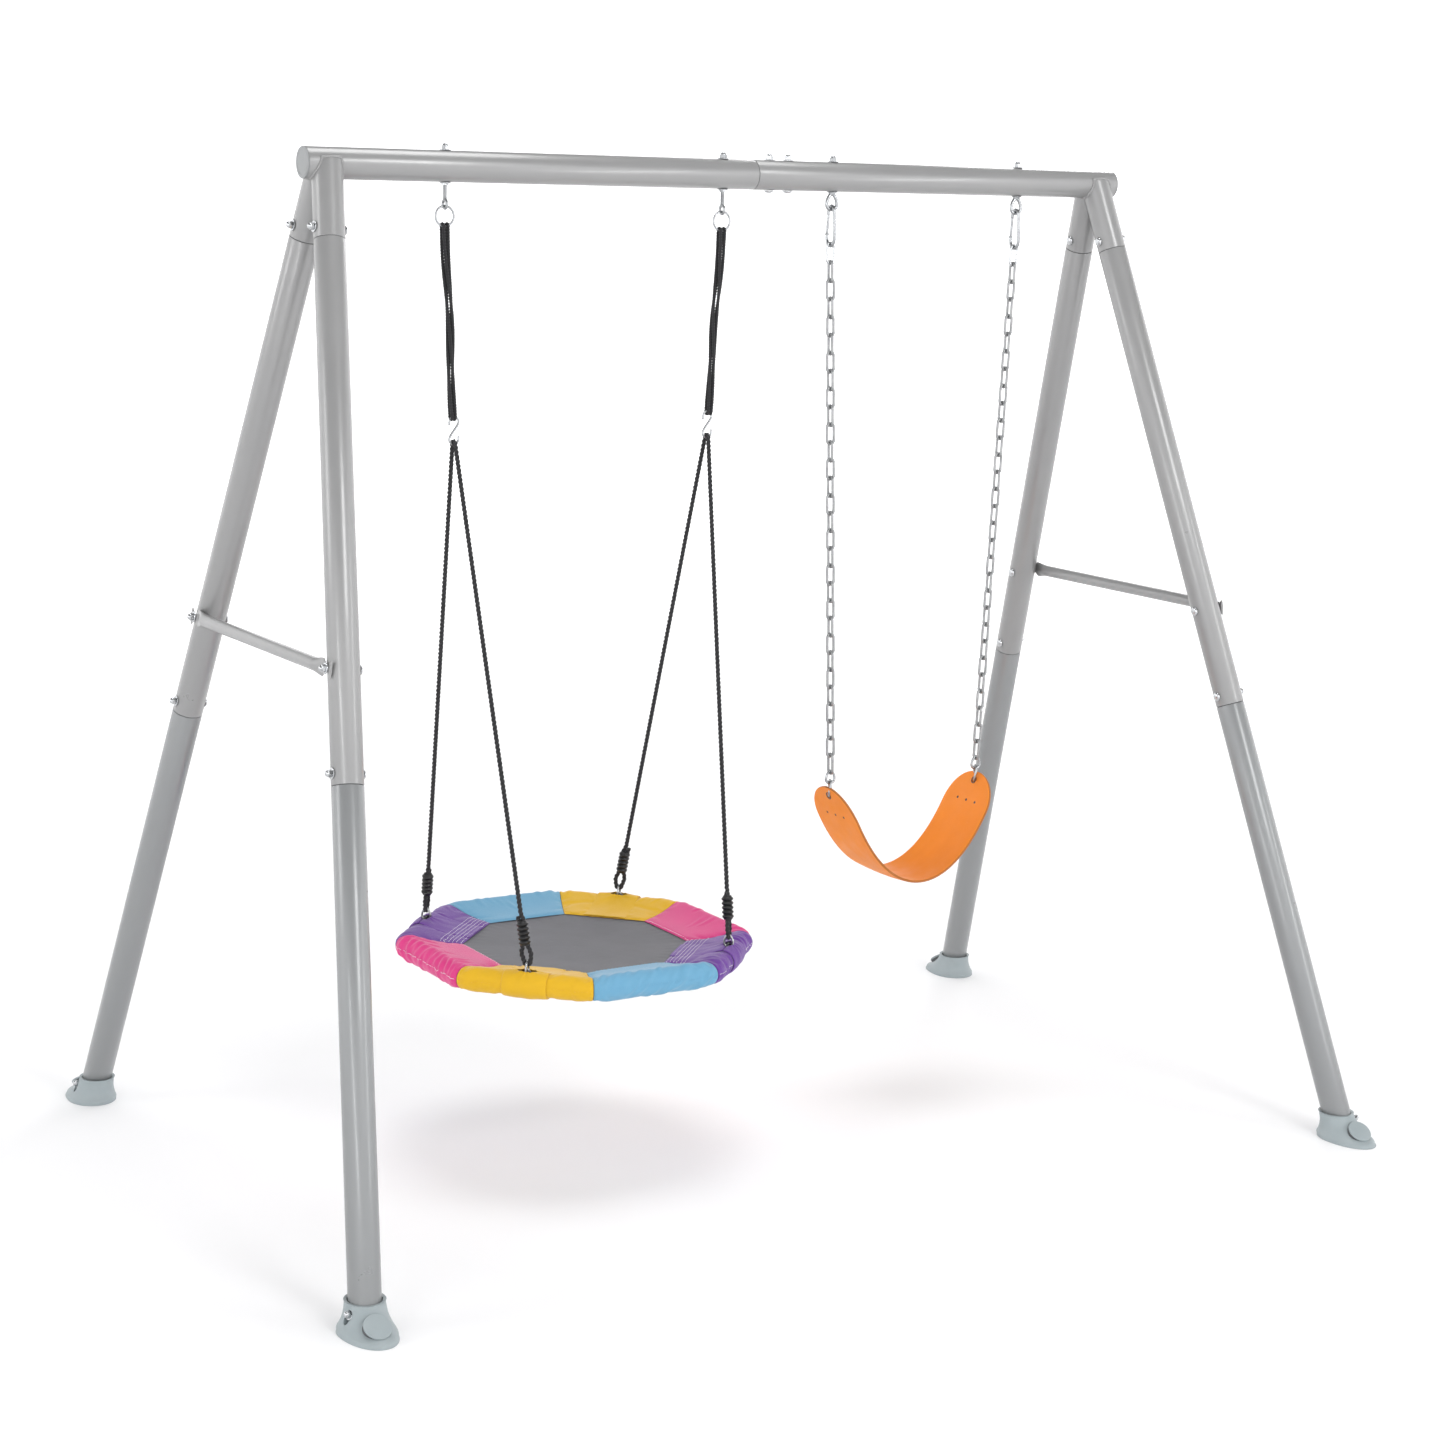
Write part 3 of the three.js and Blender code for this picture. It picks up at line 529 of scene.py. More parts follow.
# ---- legs and beam ----
SOCKET_SEAM = 0.6 * MM
SPIGOT_LENGTH = 80  # mm, the part of a tube that is inside the next one
JOINT_SHADE_R, JOINT_SHADE_HALF = TUBE_R - 1.5 * MM, 0.03  # painted shade: a dark sleeve on the inside of a joint, seen in its seam
legs = {}
for side_name, side in SIDES:
    for end_name, end in ENDS:
        at = f"{end_name}_{side_name}"
        low, high = axis_of(f"upper_leg_{at}", Z)
        up = (high - low).normalized()
        upper_top = high - up * SPIGOT_LENGTH * MM
        low_low, low_high = axis_of(f"lower_leg_{at}", Z)
        lower_top = low_high - up * SPIGOT_LENGTH * MM
        legs[side, end] = {"up": up, "seam": upper_top, "middle": low, "foot": low_low}
        pipe(low + up * SOCKET_SEAM, upper_top - up * SOCKET_SEAM, TUBE_R, paint_top,
             f"upper_tube_{at}", "frame", (f"upper_leg_{at}",))
        pipe(low_low, lower_top - up * SOCKET_SEAM, TUBE_R, paint_low, f"lower_tube_{at}", "frame",
             (f"lower_leg_{at}",))
        # Dark sleeves inside the joints are painted shade, seen through the seams.
        joint_shades = [tube([seam - up * JOINT_SHADE_HALF, seam + up * JOINT_SHADE_HALF], JOINT_SHADE_R, 48)
                  for seam in (low, upper_top)]
        show(f"leg_joint_shade_{at}", merged(*joint_shades), painted_gap_shade, "frame")


def outward_of(side):
    """The outward normal of one A-frame's plane."""
    normal = legs[side, -1]["up"].cross(legs[side, 1]["up"]).normalized()
    return normal if normal.x * side > 0 else -normal


def beam_reach(point, up):
    """How far along up a line from point meets the beam's skin, and its height there."""
    a = up.y ** 2 + up.z ** 2
    b = point.y * up.y + (point.z - BEAM_Z) * up.z
    c = point.y ** 2 + (point.z - BEAM_Z) ** 2 - TUBE_R ** 2
    return (-b - math.sqrt(max(b * b - a * c, 0))) / a


def ring_round(centre, way, count):
    """Points round a tube with its centre there, turned towards way."""
    one, two = facing(way).to_3x3() @ X, facing(way).to_3x3() @ Y
    return [centre + TUBE_R * (math.cos(t) * one + math.sin(t) * two) for t in angles(count)]


def opened(loop):
    """Points of a broken loop, in order from one side of its widest gap."""
    start = max(range(len(loop)), key=lambda i: (loop[i] - loop[i - 1]).length)
    return loop[start:] + loop[:start]


seam_x = middle_of("beam_bolt_inner").x - 40 * MM
for side_name, side in SIDES:
    ring_lo, ring_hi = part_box(f"beam_cap_{side_name}")
    end_x = ring_hi.x - CAP_FLANGE if side > 0 else ring_lo.x + CAP_FLANGE
    inner_x = seam_x + side * SOCKET_SEAM
    a, b = Vector((inner_x, 0, BEAM_Z)), Vector((end_x - side * GAP, 0, BEAM_Z))
    low, high = (a, b) if side > 0 else (b, a)
    pipe(low, high, TUBE_R, paint_top, f"beam_tube_{side_name}", "frame",
         (f"beam_{side_name}",), 72)
    face = Vector((end_x, 0, BEAM_Z))
    plug = turned([(0, -16 * MM), (27 * MM, -16 * MM), (27 * MM, 0), (TUBE_R - 0.4 * MM, 0),
                   (TUBE_R, 0.5 * MM), (TUBE_R, 1.6 * MM), (TUBE_R - 0.5 * MM, 2.5 * MM),
                   (TUBE_R - 1.6 * MM, 3 * MM), (24 * MM, 3 * MM), (23 * MM, 2.3 * MM),
                   (0, 2.3 * MM)], 64)
    show(f"beam_plug_{side_name}", moved(plug, facing(X * side, face)), cap_plastic, "frame",
         (f"beam_cap_{side_name}",))

    # Each socket is coped to the beam and welded round.
    for end_name, end in ENDS:
        leg = legs[side, end]
        up, seam = leg["up"], leg["seam"] + leg["up"] * SOCKET_SEAM
        foot_ring = ring_round(seam, up, 72)
        eased = [seam + (p - seam) * (1 - CUT_EDGE / TUBE_R) for p in foot_ring]
        foot_ring = [p + up * CUT_EDGE for p in foot_ring]
        cope = [p + up * beam_reach(p, up) for p in foot_ring]
        sunk = [c + (seam - p + up * CUT_EDGE) * 0.12 + up * 4 * MM for c, p in zip(cope, foot_ring)]
        levels = [eased, foot_ring] + [[p.lerp(c, s) for p, c in zip(foot_ring, cope)]
                                       for s in (0.25, 0.5, 0.75, 1)] + [sunk]
        show(f"leg_socket_{end_name}_{side_name}", loft(levels), paint_top, "frame")
        path = respaced(opened([c for c in cope if c.y * end > -1 * MM]), 150)
        bead = tube(path, lambda share: 2.6 * MM * (1 + 0.16 * math.sin(int(share * 150) * 1.9)), 10,
                    domed=True)
        show(f"socket_weld_{end_name}_{side_name}", bead, paint_top, "frame")
    # The weld where the two sockets of a side meet under the beam.
    leg = legs[side, 1]
    up = leg["up"]
    valley = []
    for p in ring_round(leg["seam"], up, 120):
        reach = -p.y / up.y
        q = p + up * reach
        if reach < beam_reach(p, up) + 1 * MM:
            valley.append(q)
    weld = tube(respaced(opened(valley), 80), 2.4 * MM, 10, domed=True)
    show(f"valley_weld_{side_name}", weld, paint_top, "frame")

# A dark sleeve inside the beam's joint is painted shade, seen through its seam.
joint_shade = tube([Vector((seam_x - 0.02, 0, BEAM_Z)), Vector((seam_x + 0.02, 0, BEAM_Z))],
             JOINT_SHADE_R, 48)
show("beam_joint_shade", joint_shade, painted_gap_shade, "frame")
for which in ("inner", "outer"):
    bolt_of(f"beam_bolt_{which}", Z, f"beam_bolt_{which}_seen")

BOLT_ABOVE_SEAM = 22 * MM
for side_name, side in SIDES:
    normal = outward_of(side)
    for end_name, end in ENDS:
        at = f"{end_name}_{side_name}"
        bolt_of(f"socket_bolt_{at}", normal, f"socket_bolt_{at}_seen")
        bolt_of(f"crossbar_bolt_{at}", normal, f"crossbar_bolt_{at}_seen")
        leg = legs[side, end]
        hole = leg["middle"] + leg["up"] * BOLT_ABOVE_SEAM
        bolt(f"middle_bolt_{at}", hole - normal * TUBE_R, hole + normal * TUBE_R, "frame")


# ---- crossbars ----
def between(a, b, share):
    return a + (b - a) * share


def eased_between(a, b, share):
    return between(a, b, share * share * (3 - 2 * share))


for side_name, side in SIDES:
    normal = outward_of(side)
    points = corners_of(f"crossbar_{side_name}")
    middle = Vector((points.max(0) + points.min(0)) / 2)
    half = (points[:, 1].max() - points[:, 1].min()) / 2
    width_axis = Y.cross(normal)
    bar_r, flat, pad = 12.5 * MM, 2.5 * MM, 17 * MM
    stations = []
    for i in range(10):  # the rounded end
        a = i / 9 * math.pi / 2
        stations.append((pad * (1 - math.sin(a)), flat * (0.86 if i == 0 else 1),
                         max(pad * math.sin(a + 0.12) if a < 1.4 else pad, 3 * MM)))
    stations.append((34 * MM, flat, pad))
    for i in range(1, 9):  # from flat to round
        s = i / 8
        stations.append((34 * MM + 40 * MM * s, eased_between(flat, bar_r, s),
                         eased_between(pad, bar_r, s)))
    stations.sort(key=lambda item: item[0])
    rows = [(half - back, thick, wide) for back, thick, wide in stations]
    rows = rows + [(-y, thick, wide) for y, thick, wide in reversed(rows)]
    rings = [[middle + Y * y + normal * thick * math.cos(a) + width_axis * wide * math.sin(a)
              for a in angles(40)] for y, thick, wide in rows]
    show(f"brace_{side_name}", loft(rings), paint_top, "frame",
         (f"crossbar_{side_name}",), sharp=50)

# ---- feet ----
# height and how far the skirt has drawn in towards the collar, from the ground up
FOOT_PROFILE = ((0, -0.03), (0.6, 0.0), (3, 0.012), (6.5, 0.02), (8.6, 0.06), (10.5, 0.15), (14, 0.3),
                (19, 0.48), (25, 0.66), (32, 0.81), (40, 0.92), (47, 0.98), (51.5, 1.0), (53.2, 0.985),
                (54, 0.94))
FOOT_COLLAR = 36.5 * MM
FOOT_LEAN = 0.62  # slope of the boss


def foot_shape(side, end):
    leg = legs[side, end]
    lo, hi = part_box(f"foot_{'front' if end < 0 else 'back'}_{'left' if side < 0 else 'right'}")
    up = leg["up"]

    def on_axis(z):
        return leg["foot"] + up * ((z - leg["foot"].z) / up.z)

    base = on_axis(0)
    half_x = (hi.x - lo.x) / 2
    out_y = hi.y - base.y if end > 0 else base.y - lo.y
    in_y = base.y - lo.y if end > 0 else hi.y - base.y
    count = 72
    rings = []
    for z, share in FOOT_PROFILE:
        middle = on_axis(z * MM)
        ring = []
        for a in angles(count):
            c, s = math.cos(a), math.sin(a)
            reach = out_y if s * end > 0 else in_y
            ring.append(middle + Vector((between(half_x, FOOT_COLLAR, share) * c,
                                         between(reach, FOOT_COLLAR, share) * s, 0)))
        rings.append(ring)
    # The mouth turns down into the bore round the tube.
    for z, r in ((53.4, TUBE_R + 1.2 * MM), (44, TUBE_R + 0.9 * MM)):
        middle = on_axis(z * MM)
        rings.append([middle + Vector((r * math.cos(a) * 1.01, r * math.sin(a) * 1.07, 0))
                      for a in angles(count)])
    return loft(rings), base, on_axis


for side_name, side in SIDES:
    for end_name, end in ENDS:
        at = f"{end_name}_{side_name}"
        shape, base, on_axis = foot_shape(side, end)
        foot = show(f"foot_shell_{at}", shape, foot_plastic, "frame", (f"foot_{at}",),
                    sharp=50)
        slope = Matrix.Rotation(-end * FOOT_LEAN, 4, "X")
        boss_at = base + Vector((0, end * 47 * MM, 24 * MM))
        boss = turned([(0, -8 * MM), (22 * MM, -8 * MM), (22.5 * MM, 2 * MM), (25.6 * MM, 3 * MM),
                       (26 * MM, 4 * MM), (26 * MM, 5.6 * MM), (25.2 * MM, 6.7 * MM),
                       (23.5 * MM, 7.2 * MM), (0, 7.6 * MM)], 56)
        # The dark ring under the plug's rim is painted shade.
        gap = turned([(22 * MM, -7 * MM), (24.6 * MM, -7 * MM), (24.6 * MM, 2.4 * MM),
                      (22 * MM, 2.4 * MM), (22 * MM, -7 * MM)], 56)
        show(f"foot_plug_rim_shade_{at}", moved(gap, Matrix.Translation(boss_at) @ slope), painted_gap_shade, "frame")
        show(f"foot_plug_{at}", moved(boss, Matrix.Translation(boss_at) @ slope), foot_plastic, "frame")
        # The foot's screw sits in a slot on the side away from the swings.
        out = Vector((side * 0.86, end * 0.12, 0.5)).normalized()
        seat = on_axis(32 * MM) + Vector((side * 37 * MM, end * 10 * MM, 0))
        slot_cut = turned([(0, -9 * MM), (9.5 * MM, -9 * MM), (11 * MM, 14 * MM), (0, 14 * MM)], 28)
        slot_cut = moved(slot_cut, facing(out, seat) @ Matrix.Diagonal((1.35, 0.85, 1, 1)))
        cut_away(foot, slot_cut)
        foot.data.set_sharp_from_angle(angle=math.radians(50))
        screw = merged(disc(8.5 * MM, 0, 1.5 * MM), hexagon(12 * MM, 1.5 * MM, 8 * MM),
                       dome(5.4 * MM, 7.9 * MM, 5 * MM))
        slot_way = facing(out).to_3x3() @ X
        slot_way *= math.copysign(5 * MM, slot_way.z)
        show(f"foot_screw_{at}", moved(screw, facing(out, seat + slot_way - out * 1.5 * MM)), zinc,
             "frame")


# ---- eye bolts ----
def nuts_on_beam(x):
    top = Vector((x, 0, BEAM_Z + TUBE_R))
    under = Vector((x, 0, BEAM_Z - TUBE_R))
    below = merged(disc(WASHER_R, 0, WASHER_THICK), hexagon(NUT_FLATS, WASHER_THICK, 5.8 * MM))
    return merged(cap_nut(top, Z, rng.uniform(0, 1)),
                  moved(below, facing(-Z, under) @ Matrix.Rotation(rng.uniform(0, 1), 4, "Z")))


def shank(x, low, high, r=4 * MM):
    """A threaded rod."""
    steps = max(int((high - low) / (0.25 * MM)), 8)
    path = [Vector((x, 0, low + (high - low) * i / steps)) for i in range(steps + 1)]
    thread = lambda share: 0.3 * MM * (0.5 + 0.5 * math.cos(share * steps * math.pi / 2.5))
    return tube(path, lambda share: r - thread(share), 24)


for side_name, side in SIDES:
    node = f"eye_bolt_saucer_{side_name}"
    x, low = middle_of(node).x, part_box(node)[0].z
    wire, r = 3 * MM, 8.5 * MM
    centre = low + wire + r
    eye = tube([Vector((x, r * math.sin(a), centre - r * math.cos(a)))
                for a in angles(48)], wire, 16, closed=True)
    shape = merged(eye, shank(x, centre + r - 1 * MM, BEAM_Z - TUBE_R + 1 * MM), nuts_on_beam(x))
    show(f"saucer_eye_{side_name}", shape, zinc_wire, "frame", (node,))

    node = f"eye_bolt_belt_{side_name}"
    x, low = middle_of(node).x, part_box(node)[0].z
    wire, half_w, half_h = 3.75 * MM, 12 * MM, 16 * MM
    centre = low + wire + half_h
    eye = tube([Vector((x + half_w * math.sin(a) * (1 + 0.3 * math.cos(a)), 0,
                        centre - half_h * math.cos(a)))
                for a in angles(56)], wire, 18, closed=True)
    shape = merged(eye, shank(x, centre + half_h - 1 * MM, BEAM_Z - TUBE_R + 1 * MM), nuts_on_beam(x))
    show(f"belt_eye_{side_name}", shape, zinc_wire, "frame", (node,))

    node = f"hanger_ring_{side_name}"
    at = middle_of(node)
    wire = 2.2 * MM
    r = (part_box(node)[1].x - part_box(node)[0].x) / 2 - wire
    ring = tube([at + Vector((r * math.sin(a), 0, -r * math.cos(a)))
                 for a in angles(72)], wire, 16, closed=True)
    show(f"ring_{side_name}", ring, zinc_wire, "saucer_hanger", (node,))

# ---- ropes ----
# The route of the ropes, as the CAD source has it.
SAUCER_X, EYE_REACH, LUG_REACH = -0.350, 0.310, 0.326 / math.sqrt(2)
RING_BOTTOM_Z = 1.8843  # under the ring's wire
LUG_Z = 0.4515
HOOK_TOP_Z, HOOK_BOTTOM_Z = 1.522, 1.468
LINK_TOP_Z = 0.477
LINK_WIRE = 2.2 * MM
ROPE_R = 4 * MM
STRAND_R = 3 * MM


def rope_x(side, z):
    share = (RING_BOTTOM_Z - z) / (RING_BOTTOM_Z - LUG_Z)
    return SAUCER_X + side * (EYE_REACH + (LUG_REACH - EYE_REACH) * share)


def length_of(points):
    return sum((b - a).length for a, b in zip(points, points[1:]))


def twisted(points, r, pitch):
    """A rope of three strands laid round each other, as one skin, and its centreline."""
    length = length_of(points)
    path = respaced(points, max(int(length / (1.7 * MM)), 12))
    along, axes = frames_along(path, False)
    rings, gone = [], 0.0
    for i, p in enumerate(path):
        gone += (path[i] - path[i - 1]).length if i else 0
        turn = 2 * math.pi * gone / pitch
        ring = []
        for a in angles(18):
            lobe = r * (1.0 + 0.25 * math.cos(3 * (a - turn)) - 0.03 * math.cos(6 * (a - turn)))
            ring.append(p + lobe * (math.cos(a) * axes[i][0] + math.sin(a) * axes[i][1]))
        rings.append(ring)
    return loft(rings), path


def half_turn(centre, r, axis_a, axis_b, start, end, steps=10):
    """Points round centre from start to end, in turns of pi from axis_a towards axis_b."""
    result = []
    for i in range(steps + 1):
        a = math.pi * (start + (end - start) * i / steps)
        result.append(centre + r * (math.cos(a) * axis_a + math.sin(a) * axis_b))
    return result


for side_name, side in SIDES:
    # Two looped ropes hang from each ring, so four strands run down to the S-hook.
    top_x, hook_x = rope_x(side, RING_BOTTOM_Z), rope_x(side, HOOK_TOP_Z)
    ring_wire = Vector((top_x, 0, RING_BOTTOM_Z + LINK_WIRE))
    hook_wire = Vector((hook_x, 0, HOOK_TOP_Z))
    bend = LINK_WIRE + STRAND_R + 0.2 * MM
    wobble = rng.uniform(0, 6)

    def strand(shift, way, s):
        """A point of one strand, down a bundle that makes half a turn and hangs a little slack."""
        slack = math.sin(math.pi * s)
        middle = ring_wire.lerp(hook_wire, s) + slack * Vector((
            math.sin(6.4 * s + wobble) * 2.6 * MM, math.cos(5.1 * s + wobble) * 2.2 * MM, 0))
        start, end = Vector((shift * 1.45, way * bend)), Vector((shift, way * bend))
        apart = (start.length + (end.length - start.length) * s) * (1 - 0.2 * slack)
        apart += 0.7 * MM * slack * math.sin(9 * s + way * 2 + wobble)
        turn = math.atan2(start.y, start.x) + math.pi * eased_between(0, 1, s)
        return middle + Vector((apart * math.cos(turn), apart * math.sin(turn), 0))

    for k, shift in enumerate((-3.3 * MM, 3.3 * MM)):
        top, low = ring_wire + X * shift * 1.45, hook_wire - X * shift
        down = [strand(shift, -1, i / 22) for i in range(1, 22)]
        back = [strand(shift, 1, i / 22) for i in range(21, 0, -1)]
        route = (half_turn(top, bend, Y, Z, 0.52, 1.0) + down
                 + half_turn(low, bend, Y, Z, 0.0, -1.0) + back
                 + half_turn(top, bend, Y, Z, 0.0, 0.48))
        rope, path = twisted(route, STRAND_R, 17 * MM)
        obj = show(f"rope_strands_{side_name}_{k}", rope, rope_black, "saucer_hanger",
                   (f"rope_loop_{side_name}",) if k == 0 else ())
    # The S-hook, as in the CAD source.
    r, middle = 10 * MM, (HOOK_TOP_Z + HOOK_BOTTOM_Z) / 2
    half = (HOOK_TOP_Z - HOOK_BOTTOM_Z) / 2
    upper = [(-r, half - r - 5 * MM), (-r, half - r), (-0.7 * r, half - 0.3 * r), (0, half),
             (0.7 * r, half - 0.3 * r), (r, half - r), (0.6 * r, 0.3 * half)]
    lower = [(-x, -z) for x, z in reversed(upper)]
    hook_low_x = rope_x(side, HOOK_BOTTOM_Z)
    line = smooth_path([Vector((hook_low_x + x, 0, middle + z)) for x, z in upper + lower], 90)
    show(f"s_hook_wire_{side_name}", tube(line, LINK_WIRE, 14, domed=True), zinc_wire, "saucer_hanger",
         (f"s_hook_{side_name}",))

    # One rope goes from the front link over the S-hook to the back link.
    fold = Vector((hook_low_x, 0, HOOK_BOTTOM_Z))
    bend = LINK_WIRE + GAP + ROPE_R
    rope_end_z = LINK_TOP_Z + LINK_WIRE + GAP
    rise = HOOK_BOTTOM_Z - rope_end_z
    angle = math.atan(LUG_REACH / rise) - math.asin(bend / math.hypot(LUG_REACH, rise))

    def branch(end):
        """From the hook down to the link, round it, and back up into the adjuster."""
        foot = Vector((SAUCER_X + side * LUG_REACH, end * LUG_REACH, rope_end_z))
        leave = fold + Vector((0, end * bend * math.cos(angle), bend * math.sin(angle)))
        up = (leave - foot).normalized()
        tangent = Vector((-end, side, 0)).normalized()
        link_wire = Vector((foot.x, foot.y, LINK_TOP_Z))
        aside = 4.3 * MM
        main = [leave.lerp(foot + up * 92 * MM, s) for s in (0, 0.2, 0.4, 0.6, 0.8, 0.95, 1)]
        round_r = LINK_WIRE + ROPE_R + 0.2 * MM
        inside = [foot + up * 80 * MM + tangent * aside * 0.8, foot + up * 66 * MM + tangent * aside,
                  foot + up * 40 * MM + tangent * aside, foot + up * 27 * MM + tangent * aside * 1.35,
                  foot + up * 13 * MM + tangent * 9.6 * MM]
        under = half_turn(link_wire, round_r, tangent, Z, 0.0, -1.0, 8)
        tail = [foot + up * 13 * MM - tangent * 9.6 * MM, foot + up * 27 * MM - tangent * aside * 1.35,
                foot + up * 40 * MM - tangent * aside, foot + up * 60 * MM - tangent * aside,
                foot + up * 86 * MM - tangent * (aside + 2.5 * MM)]
        return main, inside + under + tail

    over = half_turn(fold, bend, Y, Z, angle / math.pi, 1 - angle / math.pi, 10)
    main_back, loop_back = branch(1)
    main_front, loop_front = branch(-1)
    front = respaced(smooth_path(loop_front[::-1], 120), 120)
    back = respaced(smooth_path(loop_back, 120), 120)
    route = front + main_front[::-1] + over[::-1][1:-1] + main_back + back
    rope, path = twisted(route, ROPE_R, 27 * MM)
    obj = show(f"long_rope_{side_name}", rope, rope_black, "saucer",
               (f"saucer_rope_{side_name}",))

    for end_name, end in ENDS:
        at = f"{end_name}_{side_name}"
        low, high = axis_of(f"rope_adjuster_{at}", Z)
        way = (high - low).normalized()
        length = (high - low).length
        profile, steps = [(0, 0), (7.4 * MM, 0), (8.6 * MM, 0.8 * MM), (9 * MM, 2.2 * MM)], 70
        for i in range(steps + 1):
            s = i / steps
            rib = 0.5 - 0.5 * math.cos(2 * math.pi * s * 5)
            profile.append((9 * MM + 3 * MM * rib ** 0.6, 2.6 * MM + (length - 5.2 * MM) * s))
        profile += [(8.6 * MM, length - 0.8 * MM), (7.4 * MM, length), (0, length)]
        body = moved(turned(profile, 36), facing(way, low))
        show(f"adjuster_{at}", body, black_plastic, "saucer", (f"rope_adjuster_{at}",))

        link_lo, link_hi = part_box(f"saucer_link_{at}")
        centre = (link_lo + link_hi) / 2
        half_h = (link_hi.z - link_lo.z) / 2 - LINK_WIRE
        radial = Vector((side, end, 0)).normalized()
        line = [centre + radial * 9 * MM * math.sin(a) * (1 + 0.3 * math.cos(a))
                - Z * half_h * math.cos(a)
                for a in angles(48)]
        show(f"pear_link_{at}", tube(line, LINK_WIRE, 14, closed=True), zinc_wire, "saucer",
             (f"saucer_link_{at}",))

# ---- saucer ----
sleeve_lo, sleeve_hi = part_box("saucer_sleeve")
SLEEVE_R = (sleeve_hi.z - sleeve_lo.z) / 2
SAUCER = (sleeve_lo + sleeve_hi) / 2
APOTHEM = (sleeve_hi.x - sleeve_lo.x) / 2 - SLEEVE_R
FLANGE = 214 * MM  # from the middle to the inner edge of the colored border
PANELS = ("pink", "yellow", "blue", "purple") * 2
HALF_ANGLE = math.pi / 8
HALF_TAN = math.tan(HALF_ANGLE)
UV_SIDE = 0.27  # the length of a side in the cover's UV map
CORNER_R = 80 * MM  # the tube bends round its corners


def on_saucer(side_index, along, out, up):
    """A point by side of the octagon: share along it from -1 to 1, distance out from the middle
    and height."""
    a = side_index * math.pi / 4
    half = out * HALF_TAN
    bent = max(0, CORNER_R * HALF_TAN - half * (1 - abs(along)))
    near_tube = min(max((out - FLANGE) / (APOTHEM - 10 * MM - FLANGE), 0), 1)
    out -= near_tube ** 2 * bent ** 2 / (2 * CORNER_R)
    reach = out * HALF_TAN * along
    return SAUCER + Vector((out * math.cos(a) - reach * math.sin(a),
                            out * math.sin(a) + reach * math.cos(a), up))


def bezier(a, b, c, steps):
    """The points between a and c, b being the bend."""
    return [tuple((1 - t) ** 2 * p + 2 * t * (1 - t) * q + t * t * r for p, q, r in zip(a, b, c))
            for t in (i / steps for i in range(1, steps + 1))]


# The sleeve starts as a plain padded tube whose cover slopes in to the mat, and is inflated as cloth.
STEP = 4.6 * MM
COLUMNS = round(2 * APOTHEM * HALF_TAN / STEP)
START_R = SLEEVE_R - 1.0 * MM
ROUND_POINTS = 27
SLOPE_POINTS = 19
LEAVES_LOW, LEAVES_TOP = math.radians(-122), math.radians(110)  # where the cover leaves the tube


def tube_point(a):
    return START_R * math.cos(a), START_R * math.sin(a)


to_mat = FLANGE - APOTHEM
rounded = [tube_point(LEAVES_LOW + (LEAVES_TOP - LEAVES_LOW) * i / ROUND_POINTS)
           for i in range(ROUND_POINTS + 1)]
above_mat = bezier(rounded[-1], (to_mat / 2, 4 * MM), (to_mat, 2.2 * MM), SLOPE_POINTS)
below_mat = bezier(rounded[0], (to_mat * 0.38, -3 * MM), (to_mat, -2.2 * MM), SLOPE_POINTS)
section = below_mat[::-1] + rounded + above_mat
count = len(section)
section_at = [0.0]  # the distance along the section to each of its points
for (a, b), (c, d) in zip(section, section[1:]):
    section_at.append(section_at[-1] + math.hypot(c - a, d - b))
BAND_HALF = 46 * MM
LUG_SIDES = (1, 3, 5, 7)
vertices, uvs, pins, growth = [], [], [], []
GROW = {4: 1.0, 6: 0.85, 0: 0.5, 3: 0.4, 7: 0.4, 2: 0.5, 1: 0.35, 5: 0.3}
for k in range(8):
    for i in range(COLUMNS):
        along = -1 + 2 * i / COLUMNS
        for j, (out, up) in enumerate(section):
            pinch = 0.95 if i == 0 and SLOPE_POINTS <= j <= SLOPE_POINTS + ROUND_POINTS else 1.0
            vertices.append(on_saucer(k, along, APOTHEM + out * pinch, up * pinch))
            uvs.append(((k + (along + 1) / 2) * UV_SIDE, section_at[j]))
            at_edge = j in (0, count - 1)
            under_band = k in LUG_SIDES and abs(along) * COLUMNS * STEP / 2 < BAND_HALF - STEP
            pins.append(1.0 if at_edge or i == 0 or under_band else 0.0)
            growth.append(GROW[k])
faces = []
columns = 8 * COLUMNS
for c in range(columns):
    a, b = c * count, (c + 1) % columns * count
    faces += [(a + j, b + j, b + j + 1, a + j + 1) for j in range(count - 1)]
cloth = linked("sleeve_cloth", mesh_of("sleeve_cloth", (vertices, faces), uvs))
pinned = cloth.vertex_groups.new(name="pinned")
loose = cloth.vertex_groups.new(name="loose")
for i, (pin, grow) in enumerate(zip(pins, growth)):
    if pin:
        pinned.add([i], pin, "REPLACE")
    loose.add([i], grow, "REPLACE")
rest = np.array([tuple(v) for v in vertices])
cloth.modifiers.new("cloth", "CLOTH")
settings = cloth.modifiers["cloth"].settings
settings.quality = 6
settings.mass = 0.25
settings.tension_stiffness = settings.compression_stiffness = 12
settings.shear_stiffness = 3
settings.bending_stiffness = 0.06
settings.use_pressure = True
settings.uniform_pressure_force = 4
settings.effector_weights.gravity = 0
settings.vertex_group_mass = "pinned"
settings.pin_stiffness = 1
settings.shrink_min, settings.shrink_max = -0.02, -0.14
settings.vertex_group_shrink = "loose"
cloth.modifiers["cloth"].collision_settings.use_collision = False
scene = bpy.context.scene
scene.frame_start, scene.frame_end = 1, 20
cloth.modifiers["cloth"].point_cache.frame_start = 1
cloth.modifiers["cloth"].point_cache.frame_end = 20
for step in range(1, 21):
    scene.frame_set(step)
    bpy.context.view_layer.update()
applied(cloth)
scene.frame_set(1)
points = np.empty(len(cloth.data.vertices) * 3)
cloth.data.vertices.foreach_get("co", points)
points = points.reshape(-1, 3)
shift = points - rest
size = np.linalg.norm(shift, axis=1, keepdims=True)
LIMIT = 4 * MM  # the most the inflated cloth may leave its starting shape
points = rest + shift * (LIMIT * np.tanh(size / LIMIT) / np.maximum(size, 1e-9))

